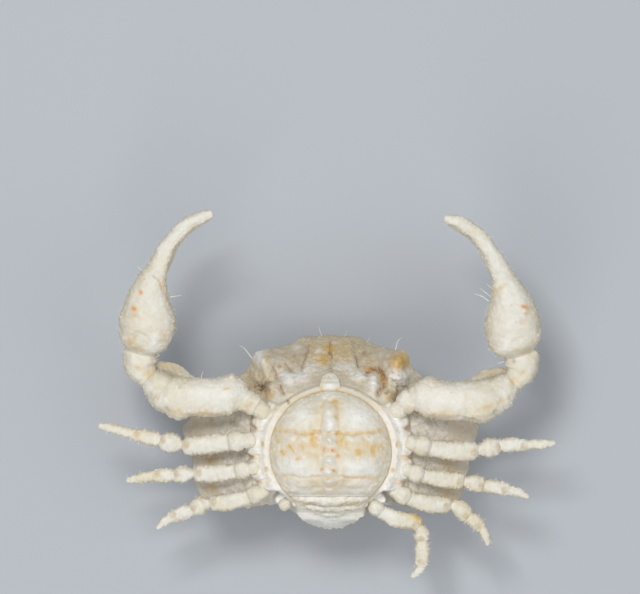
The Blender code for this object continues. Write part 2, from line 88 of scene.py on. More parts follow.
# Shape rules
def smoothstep(value: Array) -> Array:
    """0 below 0, 1 above 1 and a smooth rise between."""
    t = np.clip(value, 0.0, 1.0)
    return t * t * (3.0 - 2.0 * t)


def mix(a: Array, b: Array, share: Array) -> Array:
    """a where share is 0 and b where it is 1."""
    return a + (b - a) * share


def bump(x: Array, y: Array, centre: Row, width: Row, turn: float = 0.0) -> Array:
    """A round hump of height 1.

    Args:
        x, y: where it is wanted.
        centre: the middle of the hump.
        width: its two widths.
        turn: how far its long side is turned from x, in degrees.

    Returns:
        The hump's height at each place.
    """
    angle = math.radians(turn)
    dx, dy = x - centre[0], y - centre[1]
    along = dx * math.cos(angle) + dy * math.sin(angle)
    across = dy * math.cos(angle) - dx * math.sin(angle)
    return np.exp(-((along / width[0]) ** 2) - (across / width[1]) ** 2)


def wander(x: Array, y: Array) -> tuple[Array, Array]:
    """Places shifted a little to and fro, so that no crease or stain runs ruler straight."""
    shift_x = 0.05 * np.sin(2.9 * y + 1.7 * np.sin(1.3 * x)) + 0.03 * np.sin(7.1 * y + 3.3 * x)
    shift_y = 0.05 * np.sin(2.7 * x + 1.9 * np.sin(1.1 * y) + 0.8) + 0.03 * np.sin(6.7 * x - 2.9 * y + 0.5)
    return x + shift_x, y + shift_y


def line_distance(x: Array, y: Array, points: tuple[Row, ...]) -> Array:
    """Distance in the plane from each place to a line of straight stretches."""
    nearest = np.full(np.shape(x), 1e9)
    for (ax, ay), (bx, by) in zip(points, points[1:]):
        length = max((bx - ax) ** 2 + (by - ay) ** 2, 1e-9)
        t = np.clip(((x - ax) * (bx - ax) + (y - ay) * (by - ay)) / length, 0.0, 1.0)
        nearest = np.minimum(nearest, np.hypot(x - ax - t * (bx - ax), y - ay - t * (by - ay)))
    return nearest


def smooth_path(points: tuple[Row, ...], steps: int = 16) -> Array:
    """Close points along a smooth curve (Catmull-Rom) through the given ones."""
    given = np.array(points, float)
    knots = np.vstack([2 * given[0] - given[1], given, 2 * given[-1] - given[-2]])
    fine = []
    for a, b, c, d in zip(knots, knots[1:], knots[2:], knots[3:]):
        for t in np.arange(steps) / steps:
            linear = 2 * b + (c - a) * t
            curved = (2 * a - 5 * b + 4 * c - d) * t**2 + (3 * b - a - 3 * c + d) * t**3
            fine.append(0.5 * (linear + curved))
    return np.array(fine + [given[-1]])


def lengths_along(points: Array) -> Array:
    """Each point's distance from the first one, along the line through them."""
    steps = np.linalg.norm(np.diff(points, axis=0), axis=1)
    return np.concatenate([[0.0], np.cumsum(steps)])


@dataclass(frozen=True)
class Placing:
    """Turns the drawing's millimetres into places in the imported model.

    The abdomen plate's box gives it: the plate is drawn 10.2 mm long, from y -5.45 to 4.75,
    even about x = 0, with its underside 12.42 mm up.
    """

    low: Vector
    high: Vector
    drawn_rear: float = -5.45
    drawn_front: float = 4.75
    drawn_bottom: float = 12.42

    @property
    def unit(self) -> float:
        """Metres in one drawn millimetre."""
        return (self.high.y - self.low.y) / (self.drawn_front - self.drawn_rear)

    @property
    def shift(self) -> Array:
        """Where the drawing's origin lies, in metres."""
        middle = 0.5 * (self.low.x + self.high.x)
        rear = self.low.y - self.drawn_rear * self.unit
        return np.array([middle, rear, self.low.z - self.drawn_bottom * self.unit])

    def place(self, points: Array) -> Array:
        """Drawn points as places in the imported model."""
        return points * self.unit + self.shift


PLACING = Placing(*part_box("abdomen_plate"))


# Stains and marks
class Stain(Enum):
    """What has coloured a patch of shell; a few patches are painted shade and painted light instead. The
    value is the mesh attribute that carries it.
    """

    OCHRE = "ochre"
    RUST = "rust"
    GREY = "grey"
    DARK = "dark"
    WHITE = "white"
    CORAL = "coral"


@dataclass(frozen=True)
class Mark:
    """A soft patch of one stain."""

    stain: Stain
    x: float
    y: float
    width_x: float
    width_y: float
    amount: float
    turn: float = 0.0

    def strength(self, x: Array, y: Array) -> Array:
        """How strong the stain is at each place."""
        return self.amount * bump(x, y, (self.x, self.y), (self.width_x, self.width_y), self.turn)


@dataclass(frozen=True)
class Stroke:
    """A stain along a line."""

    stain: Stain
    points: tuple[Row, ...]
    width: float
    amount: float

    def strength(self, x: Array, y: Array) -> Array:
        """How strong the stain is at each place."""
        return self.amount * np.exp(-((line_distance(x, y, self.points) / self.width) ** 2))


@dataclass(frozen=True)
class Lump:
    """A round rise of a surface, or a hollow where its height is below zero."""

    x: float
    y: float
    width_x: float
    width_y: float
    height: float
    turn: float = 0.0

    def rise(self, x: Array, y: Array) -> Array:
        """How far it lifts the surface at each place."""
        return self.height * bump(x, y, (self.x, self.y), (self.width_x, self.width_y), self.turn)


@dataclass(frozen=True)
class Groove:
    """A crease along a line, or a ridge where its depth is below zero."""

    points: tuple[Row, ...]
    width: float
    depth: float

    def rise(self, x: Array, y: Array) -> Array:
        """How far it lifts the surface at each place."""
        return -self.depth * np.exp(-((line_distance(x, y, self.points) / self.width) ** 2))


Field = Mark | Stroke
Stains = dict[Stain, Array]
Form = Lump | Groove


def stains_at(x: Array, y: Array, fields: tuple[Field, ...], share: Array | float = 1.0) -> Stains:
    """The strength of every stain at each place, from 0 to 1."""
    x, y = wander(x, y)
    found = {stain: np.zeros(np.shape(x)) for stain in Stain}
    for one in fields:
        deepen(found, one.stain, one.strength(x, y) * share)
    return {stain: np.clip(value, 0.0, 1.0) for stain, value in found.items()}


def rise_at(x: Array, y: Array, forms: tuple[Form, ...]) -> Array:
    """The rise of all the forms together."""
    x, y = wander(x, y)
    return sum((form.rise(x, y) for form in forms), np.zeros(np.shape(x)))


def deepen(found: Stains, stain: Stain, amount: Array) -> None:
    """Raises one stain to at least this amount."""
    found[stain] = np.maximum(found[stain], amount)


def marks(stain: Stain, *rows: Row) -> tuple[Mark, ...]:
    """Marks of one stain, each given as x, y, two widths, amount and maybe a turn."""
    return tuple(Mark(stain, *row) for row in rows)


def lumps(*rows: Row) -> tuple[Lump, ...]:
    """Lumps, each given as x, y, two widths, height and maybe a turn."""
    return tuple(Lump(*row) for row in rows)


# Mesh tools
def set_attribute(mesh: Mesh, name: str, values: Array) -> None:
    """Stores a number for every vertex."""
    layer = mesh.attributes.new(name, "FLOAT", "POINT")
    layer.data.foreach_set("value", np.asarray(values, np.float32).ravel())


def closed_skin(name: str, rings: Array, start: Array, end: Array, fields: dict[str, Array]) -> Mesh:
    """A closed mesh through rings of points, with a pole at each end.

    Args:
        name: the mesh's name.
        rings: drawn points, ring by ring: (rings, sides, 3).
        start, end: the poles.
        fields: numbers for every vertex, each as (rings, sides) values.

    Returns:
        The mesh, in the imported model's metres, with its faces outward.
    """
    count, sides = rings.shape[:2]
    points = np.vstack([start[None], rings.reshape(-1, 3), end[None]])
    index = 1 + np.arange(count * sides).reshape(count, sides)
    after = np.roll(index, -1, axis=1)
    quads = np.stack([index[:-1], after[:-1], after[1:], index[1:]], -1).reshape(-1, 4)
    first = np.stack([np.zeros(sides, int), after[0], index[0]], -1)
    last = np.stack([np.full(sides, count * sides + 1), index[-1], after[-1]], -1)
    mesh = bpy.data.meshes.new(name)
    mesh.from_pydata(PLACING.place(points).tolist(), [], quads.tolist() + first.tolist() + last.tolist())
    a, b, c = points[quads[:, 0]], points[quads[:, 1]], points[quads[:, 2]]
    middle = points.mean(axis=0)
    volume = np.einsum("ij,ij->i", a - middle, np.cross(b - middle, c - middle)).sum()
    if volume < 0:
        mesh.flip_normals()
    mesh.shade_smooth()
    for key, values in fields.items():
        ends = np.concatenate([[values[0].mean()], values.ravel(), [values[-1].mean()]])
        set_attribute(mesh, key, ends)
    return mesh


def shell_fields(granule: Array, wave: Array, found: Stains) -> dict[str, Array]:
    """The attributes of a skin: its granules, its waves and every stain."""
    return {"granule": granule, "wave": wave} | {stain.value: value for stain, value in found.items()}


def domed_skin(name: str, x: Array, y: Array, height: Array, centre: Row, foot: float,
               fields: dict[str, Array]) -> Mesh:
    """A closed plate: rings of points that run inwards to centre, and a flat foot under them."""
    points = np.stack([x, y, height], -1)
    start = np.array([centre[0], centre[1], foot])
    end = np.array([centre[0], centre[1], float(points[-1, :, 2].mean())])
    return closed_skin(name, points, start, end, fields)


def joined(name: str, parts: list[Mesh]) -> Mesh:
    """Several closed meshes as one."""
    if len(parts) == 1:
        return parts[0]
    points, faces, fields, start = [], [], {}, 0
    names = [layer.name for layer in parts[0].attributes if layer.data_type == "FLOAT"]
    for part in parts:
        points += [vertex.co[:] for vertex in part.vertices]
        faces += [[start + corner for corner in face.vertices] for face in part.polygons]
        start += len(part.vertices)
        for key in names:
            values = np.zeros(len(part.vertices), np.float32)
            part.attributes[key].data.foreach_get("value", values)
            fields.setdefault(key, []).append(values)
    mesh = bpy.data.meshes.new(name)
    mesh.from_pydata(points, [], faces)
    mesh.shade_smooth()
    for key, values in fields.items():
        set_attribute(mesh, key, np.concatenate(values))
    return mesh


# Node tools
def add_node(tree: Tree, kind: str, inputs: dict | None = None, **settings) -> Node:
    """Adds a node with its settings, and sets or links its inputs.

    Args:
        tree: the node tree.
        kind: the node's type.
        inputs: values, or sockets to link from, by the input's name or number.
        settings: the node's own settings.

    Returns:
        The new node.
    """
    node = tree.nodes.new(kind)
    for key, value in settings.items():
        setattr(node, key, value)
    for key, value in (inputs or {}).items():
        if isinstance(value, Socket):
            tree.links.new(value, node.inputs[key])
        else:
            node.inputs[key].default_value = value
    return node


def linear(colour: str) -> tuple[float, float, float, float]:
    """An sRGB hex colour as linear values."""
    parts = [int(colour[i : i + 2], 16) / 255 for i in (1, 3, 5)]
    return (*(p / 12.92 if p <= 0.04045 else ((p + 0.055) / 1.055) ** 2.4 for p in parts), 1.0)


def noise(tree: Tree, place: Socket, size: float, detail: float = 3.0):
    """Smooth noise whose patches are about size mm across, from 0 to 1."""
    inputs = {"Vector": place, "Scale": 1.0 / size, "Detail": detail}
    return add_node(tree, "ShaderNodeTexNoise", inputs).outputs["Fac"]


def ramp(tree: Tree, value: Socket, low: float, high: float, to_low=0.0, to_high=1.0):
    """value stretched from low..high to to_low..to_high and kept within it."""
    inputs = {"Value": value, "From Min": low, "From Max": high, "To Min": to_low, "To Max": to_high}
    return add_node(tree, "ShaderNodeMapRange", inputs).outputs["Result"]


def times(tree: Tree, a, b):
    """a times b, kept within 0 and 1."""
    return add_node(tree, "ShaderNodeMath", {0: a, 1: b}, operation="MULTIPLY", use_clamp=True).outputs[0]


def blend(tree: Tree, share, a, b):
    """Colour a where share is 0 and b where it is 1."""
    return add_node(tree, "ShaderNodeMix", {0: share, 6: a, 7: b}, data_type="RGBA").outputs[2]


# Finishes
def new_material(name: str) -> tuple[Material, Tree, Node]:
    """A new material, its node tree and its shader."""
    material = bpy.data.materials.new(name)
    material.use_nodes = True
    return material, material.node_tree, material.node_tree.nodes["Principled BSDF"]


def place_in_mm(tree: Tree) -> Socket:
    """The place on the piece, in real millimetres."""
    source = add_node(tree, "ShaderNodeTexCoord").outputs["Object"]
    return add_node(tree, "ShaderNodeMapping", {"Vector": source, "Scale": (1.0 / MM,) * 3}).outputs[0]


@dataclass(frozen=True)
class ShellFinish:
    """Dried crab shell: chalky, slightly translucent calcified chitin, cleaned and bleached.

    It gives the eye a matt ivory that drifts to cream, a faint waxy gloss on the smooth parts,
    mineral stains in ochre and rust brown, and fine pores. Sizes are in millimetres.
    """

    name: str
    ivory: str = "#E2DFD5"
    cream: str = "#D8CDAC"
    cool: str = "#CFCEC6"
    ochre: str = "#D0A446"
    rust: str = "#8A5A2C"
    grey: str = "#8E8676"
    dark: str = "#3A2E22"
    white: str = "#EDECE7"
    coral: str = "#DE8A30"
    # Painted shade: the colour that the hollows between granules and the troughs of the waves are darkened
    # towards
    hollow: str = "#B5A275"
    speck: str = "#B09A6C"
    cream_share: float = 0.55
    cavity_shade_share: float = 0.42
    speck_share: float = 0.35
    roughness: float = 0.56
    specular: float = 0.34
    patch_size: float = 4.2
    mottle_size: float = 0.7
    blot_size: float = 0.5
    pore_size: float = 0.16
    grain_height: float = 0.03

    def colour(self, tree: Tree, place: Socket) -> Socket:
        """The colour: ivory and cream in drifting patches, then painted shade in the hollows, stains and
        specks.
        """
        patches = ramp(tree, noise(tree, place, self.patch_size), 0.38, 0.66, 0.0, self.cream_share)
        mottle = noise(tree, place, self.mottle_size, 5.0)
        colour = blend(tree, patches, linear(self.ivory), linear(self.cream))
        colour = blend(tree, ramp(tree, mottle, 0.45, 0.75, 0.0, 0.5), colour, linear(self.cool))
        # Painted shade: the hollows that the relief tree stores are darkened towards the hollow colour
        cavity_shade = add_node(tree, "ShaderNodeAttribute", attribute_name="cavity_shade").outputs["Fac"]
        colour = blend(tree, times(tree, cavity_shade, self.cavity_shade_share), colour, linear(self.hollow))
        fine = ramp(tree, noise(tree, place, self.blot_size, 4.0), 0.32, 0.68, 0.5, 1.3)
        broken = ramp(tree, noise(tree, place, 0.6 * self.blot_size, 3.0), 0.38, 0.64, 0.35, 1.15)
        for stain, tone in (
            (Stain.WHITE, self.white),
            (Stain.GREY, self.grey),
            (Stain.OCHRE, self.ochre),
            (Stain.RUST, self.rust),
            (Stain.CORAL, self.coral),
            (Stain.DARK, self.dark),
        ):
            held = add_node(tree, "ShaderNodeAttribute", attribute_name=stain.value).outputs["Fac"]
            pattern = broken if stain in (Stain.RUST, Stain.DARK, Stain.GREY) else fine
            colour = blend(tree, times(tree, held, pattern), colour, linear(tone))
        cells = add_node(tree, "ShaderNodeTexVoronoi", {"Vector": place, "Scale": 1.3})
        near = ramp(tree, cells.outputs["Distance"], 0.06, 0.2, 1.0, 0.0)
        chosen = ramp(tree, noise(tree, place, 2.4), 0.52, 0.6, 0.0, self.speck_share)
        return blend(tree, times(tree, near, chosen), colour, linear(self.speck))

    def height(self, tree: Tree, place: Socket) -> Socket:
        """The finest relief: grain and pores too small for the mesh."""
        grain = noise(tree, place, self.pore_size * 1.6, 6.0)
        pores = add_node(tree, "ShaderNodeTexVoronoi", {"Vector": place, "Scale": 0.5 / self.pore_size})
        pits = ramp(tree, pores.outputs["Distance"], 0.0, 0.35, 0.0, 0.5)
        return add_node(tree, "ShaderNodeMath", {0: grain, 1: pits}, operation="ADD").outputs[0]

    def build(self) -> Material:
        """The material."""
        material, tree, shader = new_material(self.name)
        place = place_in_mm(tree)
        tree.links.new(self.colour(tree, place), shader.inputs["Base Color"])
        rough = ramp(tree, noise(tree, place, 1.1), 0.3, 0.7, self.roughness - 0.07, self.roughness + 0.1)
        tree.links.new(rough, shader.inputs["Roughness"])
        shader.inputs["Specular IOR Level"].default_value = self.specular
        raised = self.height(tree, place)
        inputs = {"Height": raised, "Strength": 0.6, "Distance": self.grain_height * MM}
        bumped = add_node(tree, "ShaderNodeBump", inputs).outputs["Normal"]
        tree.links.new(bumped, shader.inputs["Normal"])
        return material


@dataclass(frozen=True)
class BristleFinish:
    """Dry bristle, clear pale chitin: it gives the eye thin whitish glints."""

    name: str = "dry_chitin_bristle"
    tone: str = "#E4DFD2"
    tip_tone: str = "#F4F2EC"
    roughness: float = 0.35

    def build(self) -> Material:
        """The material."""
        material, tree, shader = new_material(self.name)
        place = place_in_mm(tree)
        share = ramp(tree, noise(tree, place, 0.5), 0.35, 0.65)
        colour = blend(tree, share, linear(self.tone), linear(self.tip_tone))
        tree.links.new(colour, shader.inputs["Base Color"])
        shader.inputs["Roughness"].default_value = self.roughness
        return material


@dataclass(frozen=True)
class FloorFinish:
    """A sheet of matt pale grey studio card."""

    name: str = "matt_studio_card"
    tone: str = "#B4B8BD"
    roughness: float = 0.9

    def build(self) -> Material:
        """The material."""
        material, _, shader = new_material(self.name)
        shader.inputs["Base Color"].default_value = linear(self.tone)
        shader.inputs["Roughness"].default_value = self.roughness
        return material


ABDOMEN_SHELL = ShellFinish("smooth_abdomen_shell", cream_share=0.6, roughness=0.46, grain_height=0.02)
CLAW_SHELL = ShellFinish("ivory_claw_shell", cream_share=0.5, roughness=0.5, grain_height=0.03)
LEG_SHELL = ShellFinish("ivory_leg_shell", cream_share=0.6, roughness=0.5, grain_height=0.03)


# Relief
@dataclass(frozen=True)
class Relief:
    """Granules and low waves that stand out of a shell, in millimetres."""

    granule_size: float = 0.42
    granule_height: float = 0.07
    wave_size: float = 1.6
    wave_height: float = 0.12


class PieceTree:
    """What the Geometry Nodes trees share: named inputs, common nodes and running on a mesh."""

    NAME = ""
    SIZES: tuple[str, ...] = ()

    def __init__(self) -> None:
        """Builds the tree."""
        self.tree = bpy.data.node_groups.new(self.NAME, "GeometryNodeTree")
        face = self.tree.interface
        face.new_socket("Geometry", in_out="INPUT", socket_type="NodeSocketGeometry")
        for name in self.SIZES:
            face.new_socket(name, in_out="INPUT", socket_type="NodeSocketFloat")
        face.new_socket("Finish", in_out="INPUT", socket_type="NodeSocketMaterial")
        face.new_socket("Geometry", in_out="OUTPUT", socket_type="NodeSocketGeometry")
        self.fill()

    def fill(self) -> None:
        """Adds the nodes. Each tree has its own."""
        raise NotImplementedError

    def share(self, name: str) -> Socket:
        """A vertex attribute of the piece."""
        node = add_node(self.tree, "GeometryNodeInputNamedAttribute", {"Name": name}, data_type="FLOAT")
        return node.outputs["Attribute"]

    def maths(self, operation: str, a, b) -> Socket:
        """One operation on two values."""
        return add_node(self.tree, "ShaderNodeMath", {0: a, 1: b}, operation=operation).outputs[0]

    def scaled(self, vector: Socket, scale) -> Socket:
        """A vector times a number."""
        node = add_node(self.tree, "ShaderNodeVectorMath", {0: vector, 3: scale}, operation="SCALE")
        return node.outputs[0]

    def close(self, shape: Socket, finish: Socket) -> None:
        """Ends the tree: instances made real, and the material set."""
        real = add_node(self.tree, "GeometryNodeRealizeInstances", {0: shape}).outputs[0]
        finished = add_node(self.tree, "GeometryNodeSetMaterial", {"Geometry": real, "Material": finish})
        add_node(self.tree, "NodeGroupOutput", {0: finished.outputs[0]})

    def socket(self, name: str) -> str:
        """The identifier of a named input."""
        for item in self.tree.interface.items_tree:
            if item.name == name and item.in_out == "INPUT":
                return item.identifier
        raise KeyError(name)

    def run(self, name: str, mesh: Mesh, sizes: Row, finish: Material) -> Object:
        """Runs the tree on a mesh.

        Args:
            name: the finished piece's name.
            mesh: what the tree works on, with the attributes that it reads.
            sizes: a value for each of SIZES.
            finish: the piece's material.

        Returns:
            A plain mesh object with no modifier.
        """
        rough = bpy.data.objects.new(name + "_rough", mesh)
        bpy.context.scene.collection.objects.link(rough)
        modifier = rough.modifiers.new(self.NAME, "NODES")
        modifier.node_group = self.tree
        for key, value in zip(self.SIZES, sizes):
            modifier[self.socket(key)] = value
        modifier[self.socket("Finish")] = finish
        graph = bpy.context.evaluated_depsgraph_get()
        done = bpy.data.meshes.new_from_object(rough.evaluated_get(graph), depsgraph=graph)
        rough.modifiers.clear()
        bpy.data.objects.remove(rough, do_unlink=True)
        piece = bpy.data.objects.new(name, done)
        bpy.context.scene.collection.objects.link(piece)
        return piece


class ReliefTree(PieceTree):
    """The Geometry Nodes tree that raises granules and waves on any piece of shell, and stores their hollows
    for painted shade.
    """

    NAME = "shell_relief"
    SIZES = ("Granule Size", "Granule Height", "Wave Size", "Wave Height")

    def fill(self) -> None:
        """Adds the nodes."""
        tree = self.tree
        given = add_node(tree, "NodeGroupInput").outputs
        position = add_node(tree, "GeometryNodeInputPosition").outputs[0]
        place = self.scaled(position, 1.0 / MM)
        scale = self.maths("DIVIDE", 1.0, given["Granule Size"])
        cells = add_node(tree, "ShaderNodeTexVoronoi", {"Vector": place, "Scale": scale}, feature="SMOOTH_F1")
        cells.inputs["Smoothness"].default_value = 0.25
        hill = ramp(tree, cells.outputs["Distance"], 0.12, 0.62, 1.0, 0.0)
        spread = ramp(tree, noise(tree, place, 1.9, 2.0), 0.36, 0.6, 0.25, 1.0)
        granules = self.maths("MULTIPLY", self.maths("MULTIPLY", hill, spread), self.share("granule"))
        wave_scale = self.maths("DIVIDE", 1.0, given["Wave Size"])
        swell = add_node(tree, "ShaderNodeTexNoise", {"Vector": place, "Scale": wave_scale, "Detail": 2.0})
        wave = self.maths("MULTIPLY", self.maths("SUBTRACT", swell.outputs["Fac"], 0.5), self.share("wave"))
        raised = self.maths("MULTIPLY", granules, given["Granule Height"])
        waved = self.maths("MULTIPLY", wave, self.maths("MULTIPLY", given["Wave Height"], 2.0))
        far = self.maths("MULTIPLY", self.maths("ADD", raised, waved), MM)
        normal = add_node(tree, "GeometryNodeInputNormal").outputs[0]
        offset = self.scaled(normal, far)
        # The hollows between granules and the troughs of the waves, stored as the mask of the material's
        # painted shade
        hollow = self.maths("MULTIPLY", self.maths("SUBTRACT", 1.0, hill), self.share("granule"))
        low = self.maths("SUBTRACT", hollow, self.maths("MULTIPLY", wave, 1.5))
        inputs = {"Geometry": given["Geometry"], "Name": "cavity_shade", "Value": low}
        stored = add_node(tree, "GeometryNodeStoreNamedAttribute", inputs, data_type="FLOAT", domain="POINT")
        moved = add_node(tree, "GeometryNodeSetPosition", {"Geometry": stored.outputs[0], "Offset": offset})
        self.close(moved.outputs[0], given["Finish"])

    def apply(self, name: str, mesh: Mesh, relief: Relief, finish: Material) -> Object:
        """Raises the relief on a smooth mesh with the attributes granule and wave."""
        sizes = (relief.granule_size, relief.granule_height, relief.wave_size, relief.wave_height)
        piece = self.run(name, mesh, sizes, finish)
        piece.data.name = name
        return piece


@dataclass
class Workshop:
    """Holds the finishes and the relief tree, and puts finished pieces in the frame."""

    relief: ReliefTree
    finishes: dict[str, Material] = field(default_factory=dict)

    def finish(self, look: ShellFinish | BristleFinish | FloorFinish) -> Material:
        """A finish's material, built once."""
        if look.name not in self.finishes:
            self.finishes[look.name] = look.build()
        return self.finishes[look.name]

    def settle(self, node: str, mesh: Mesh, relief: Relief, look: ShellFinish) -> Object:
        """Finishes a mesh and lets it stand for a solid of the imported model."""
        piece = self.relief.apply(node + "_look", mesh, relief, self.finish(look))
        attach(piece, BODY)
        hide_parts(node)
        log.info("%s stands for %s with %d faces", piece.name, node, len(piece.data.polygons))
        return piece


# The carapace and the chest under it
@dataclass
class Carapace:
    """The box of shell that everything hangs on: back, margin, front face, flanks and chest."""

    slot: str = "carapace"
    sides: int = 480
    edge: tuple[Row, ...] = (
        (0.0, 10.4, 3.4), (2.8, 10.2, 3.9), (4.2, 9.5, 5.6), (6.3, 9.0, 8.6), (7.5, 8.8, 9.5),
        (8.2, 7.2, 9.0), (9.4, 6.1, 8.5), (11.5, 5.3, 8.1), (13.2, 4.2, 8.0), (13.9, 2.5, 7.9),
        (14.85, 1.0, 7.8), (14.2, -0.8, 7.9), (13.9, -2.2, 8.0), (13.6, -4.3, 8.2), (12.8, -6.1, 8.4),
        (11.4, -7.0, 8.6), (8.6, -6.8, 8.4), (5.2, -6.5, 8.0), (3.8, -7.1, 8.2), (2.5, -8.2, 8.6),
        (1.1, -8.85, 8.8), (0.0, -8.95, 8.8),
    )
    chest_height: float = 12.6
    chest_drop_at_tail: float = 2.7
    chest_reach: float = 7.3
    chest_reach_at_tail: float = 6.45
    flank_rise: float = 4.8
    rim_height: float = 13.1
    rim_inner: float = 5.95
    rim_outer: float = 6.52
    basin_height: float = 12.1
    ledge_height: float = 13.28
    basin_radius: float = 6.0
    belly_radius: float = 7.15
    chest_notches: Row = (1.15, -1.65, -4.1)
    # The seat that the tail's rings and the rear hips lie on
    bed_y: Row = (-8.4, -7.9, -7.5, -7.2, -6.92, -6.64, -6.28, -5.98, -5.3)
    bed_height: Row = (10.3, 10.95, 11.25, 11.4, 11.85, 12.25, 12.65, 12.95, 13.1)
    shoulder_height: float = 11.3
    least_back_height: float = 0.25
    # How many of the chest's forms, from the first on, are its stained oval spots
    oval_spots: int = 5
    slot_half_width: float = 1.12
    slot_end_y: float = 6.85
    # Hollows (above zero) and lumps of the back, the same on both sides: x, y, widths, depth
    back_marks: tuple[Row, ...] = (
        (1.5, 8.6, 1.1, 0.9, -0.8), (3.0, 6.5, 1.1, 1.5, 2.3), (5.9, 8.0, 1.7, 1.1, 1.5),
        (7.9, 8.5, 0.8, 0.7, -0.8), (8.0, 6.1, 0.7, 0.6, 0.7), (9.4, 4.2, 1.0, 1.2, 1.5),
        (11.4, 3.9, 0.9, 0.8, -0.6), (10.3, 1.1, 0.8, 1.1, 0.9), (10.3, -1.9, 0.8, 1.2, 0.9),
        (12.0, -0.7, 1.1, 1.0, 1.1), (12.6, -2.6, 0.9, 0.8, -0.6), (8.6, -5.1, 1.1, 0.9, 1.1),
        (10.8, -5.6, 1.0, 0.8, -0.5), (1.5, -2.1, 0.7, 0.7, 0.7), (2.5, -4.5, 1.1, 0.9, 1.7),
        (0.0, -5.4, 1.4, 1.2, -1.0), (0.0, -7.5, 2.2, 1.0, -0.7),
    )
    lopsided_back_marks: tuple[Row, ...] = (
        (12.0, 1.9, 0.8, 0.8, 0.9), (11.4, -4.1, 0.9, 0.8, 0.9), (-12.7, 1.4, 1.0, 1.2, 0.8),
        (-6.6, -0.6, 0.8, 0.6, 0.5),
    )
    face_forms: tuple[Form, ...] = (
        Groove(((-2.05, 9.9), (-2.2, 9.2), (-2.4, 8.47), (-2.83, 7.2)), 0.16, 0.4),
        Groove(((2.3, 9.9), (2.45, 9.0), (2.5, 8.35), (2.8, 7.26)), 0.16, 0.4),
        Groove(((0.05, 10.2), (0.08, 8.8), (0.08, 7.0)), 0.1, 0.22),
        Groove(((-4.5, 7.5), (-4.25, 7.15), (-3.95, 6.8)), 0.2, 0.35),
        Groove(((-5.55, 7.1), (-5.45, 6.5), (-5.2, 5.9), (-4.8, 4.7)), 0.2, 0.35),
        Groove(((3.6, 6.7), (4.0, 6.95), (4.4, 7.15), (5.1, 6.8), (5.45, 6.1), (5.3, 5.4), (4.8, 4.6)),
               0.24, 0.4),
        Groove(((-7.3, 5.6), (-6.95, 5.15), (-6.4, 5.6)), 0.22, 0.3),
        Groove(((-6.6, 5.0), (-7.6, 5.05)), 0.2, 0.25),
        Groove(((6.0, 6.1), (6.6, 5.7), (7.4, 5.25)), 0.16, 0.22),
        *lumps(
            (-1.2, 9.85, 0.34, 0.26, -0.45), (1.3, 9.85, 0.34, 0.26, -0.45), (-1.25, 8.9, 0.34, 0.3, 0.2),
            (-6.9, 8.3, 0.8, 0.7, 0.25), (7.1, 7.8, 0.8, 0.7, 0.25), (-4.2, 6.3, 0.7, 0.6, 0.7, 30.0),
            (-2.9, 6.1, 0.75, 0.5, 0.35, 15.0), (-3.5, 7.6, 0.7, 0.6, 0.25),
            (2.9, 6.35, 0.75, 0.5, 0.6, -15.0), (4.25, 5.85, 0.5, 0.95, 0.8, 12.0),
            (3.5, 7.9, 0.7, 0.7, 0.2), (6.8, 6.3, 0.9, 0.7, 0.9), (-6.4, 6.5, 0.6, 0.6, 0.3),
            (-5.9, 5.3, 0.5, 0.5, 0.35), (6.1, 4.6, 0.7, 0.6, 0.4), (0.0, -8.1, 3.0, 0.8, 1.0),
            (-5.3, -5.85, 0.5, 0.4, 0.6), (-4.4, -6.3, 0.4, 0.4, 0.5), (5.3, -5.9, 0.5, 0.4, 0.5),
            (-6.2, -5.6, 0.4, 0.35, 0.4), (0.0, 6.75, 1.0, 0.5, 0.6),
        ),
    )
    chest_forms: tuple[Form, ...] = (
        *lumps(
            (-6.75, -0.4, 0.17, 0.33, -0.12, 10.0), (6.65, -0.4, 0.17, 0.33, -0.12, -10.0),
            (6.2, -2.95, 0.2, 0.24, -0.12), (-7.3, -2.7, 0.2, 0.24, -0.12),
            (-6.4, -2.85, 0.18, 0.26, -0.12), (-6.15, -4.8, 0.4, 0.35, 0.3), (6.0, -4.6, 0.4, 0.35, 0.3),
            (-6.8, -3.7, 0.35, 0.3, 0.22), (6.75, -3.6, 0.35, 0.3, 0.22), (-7.3, 0.6, 0.4, 0.3, 0.22),
            (7.3, 0.5, 0.4, 0.3, 0.22), (-7.4, -1.3, 0.4, 0.25, 0.22), (7.4, -1.4, 0.4, 0.25, 0.22),
            (-6.9, 2.2, 0.4, 0.35, 0.2), (6.9, 2.2, 0.4, 0.35, 0.2), (-4.9, -5.9, 0.4, 0.3, 0.3),
            (4.7, -5.9, 0.4, 0.3, 0.3),
        ),
        Groove(((-7.7, 1.2), (-6.7, 1.15)), 0.16, 0.2),
        Groove(((7.7, 1.1), (6.7, 1.1)), 0.16, 0.2),
        Groove(((-7.7, -1.6), (-6.6, -1.6)), 0.16, 0.22),
        Groove(((7.6, -1.7), (6.5, -1.7)), 0.16, 0.22),
        Groove(((-7.2, -4.1), (-6.0, -3.9)), 0.16, 0.22),
        Groove(((7.1, -4.1), (6.0, -3.9)), 0.16, 0.22),
        Groove(((-6.9, 3.9), (-6.2, 3.4)), 0.16, 0.18),
        Groove(((6.9, 3.9), (6.2, 3.4)), 0.16, 0.18),
    )
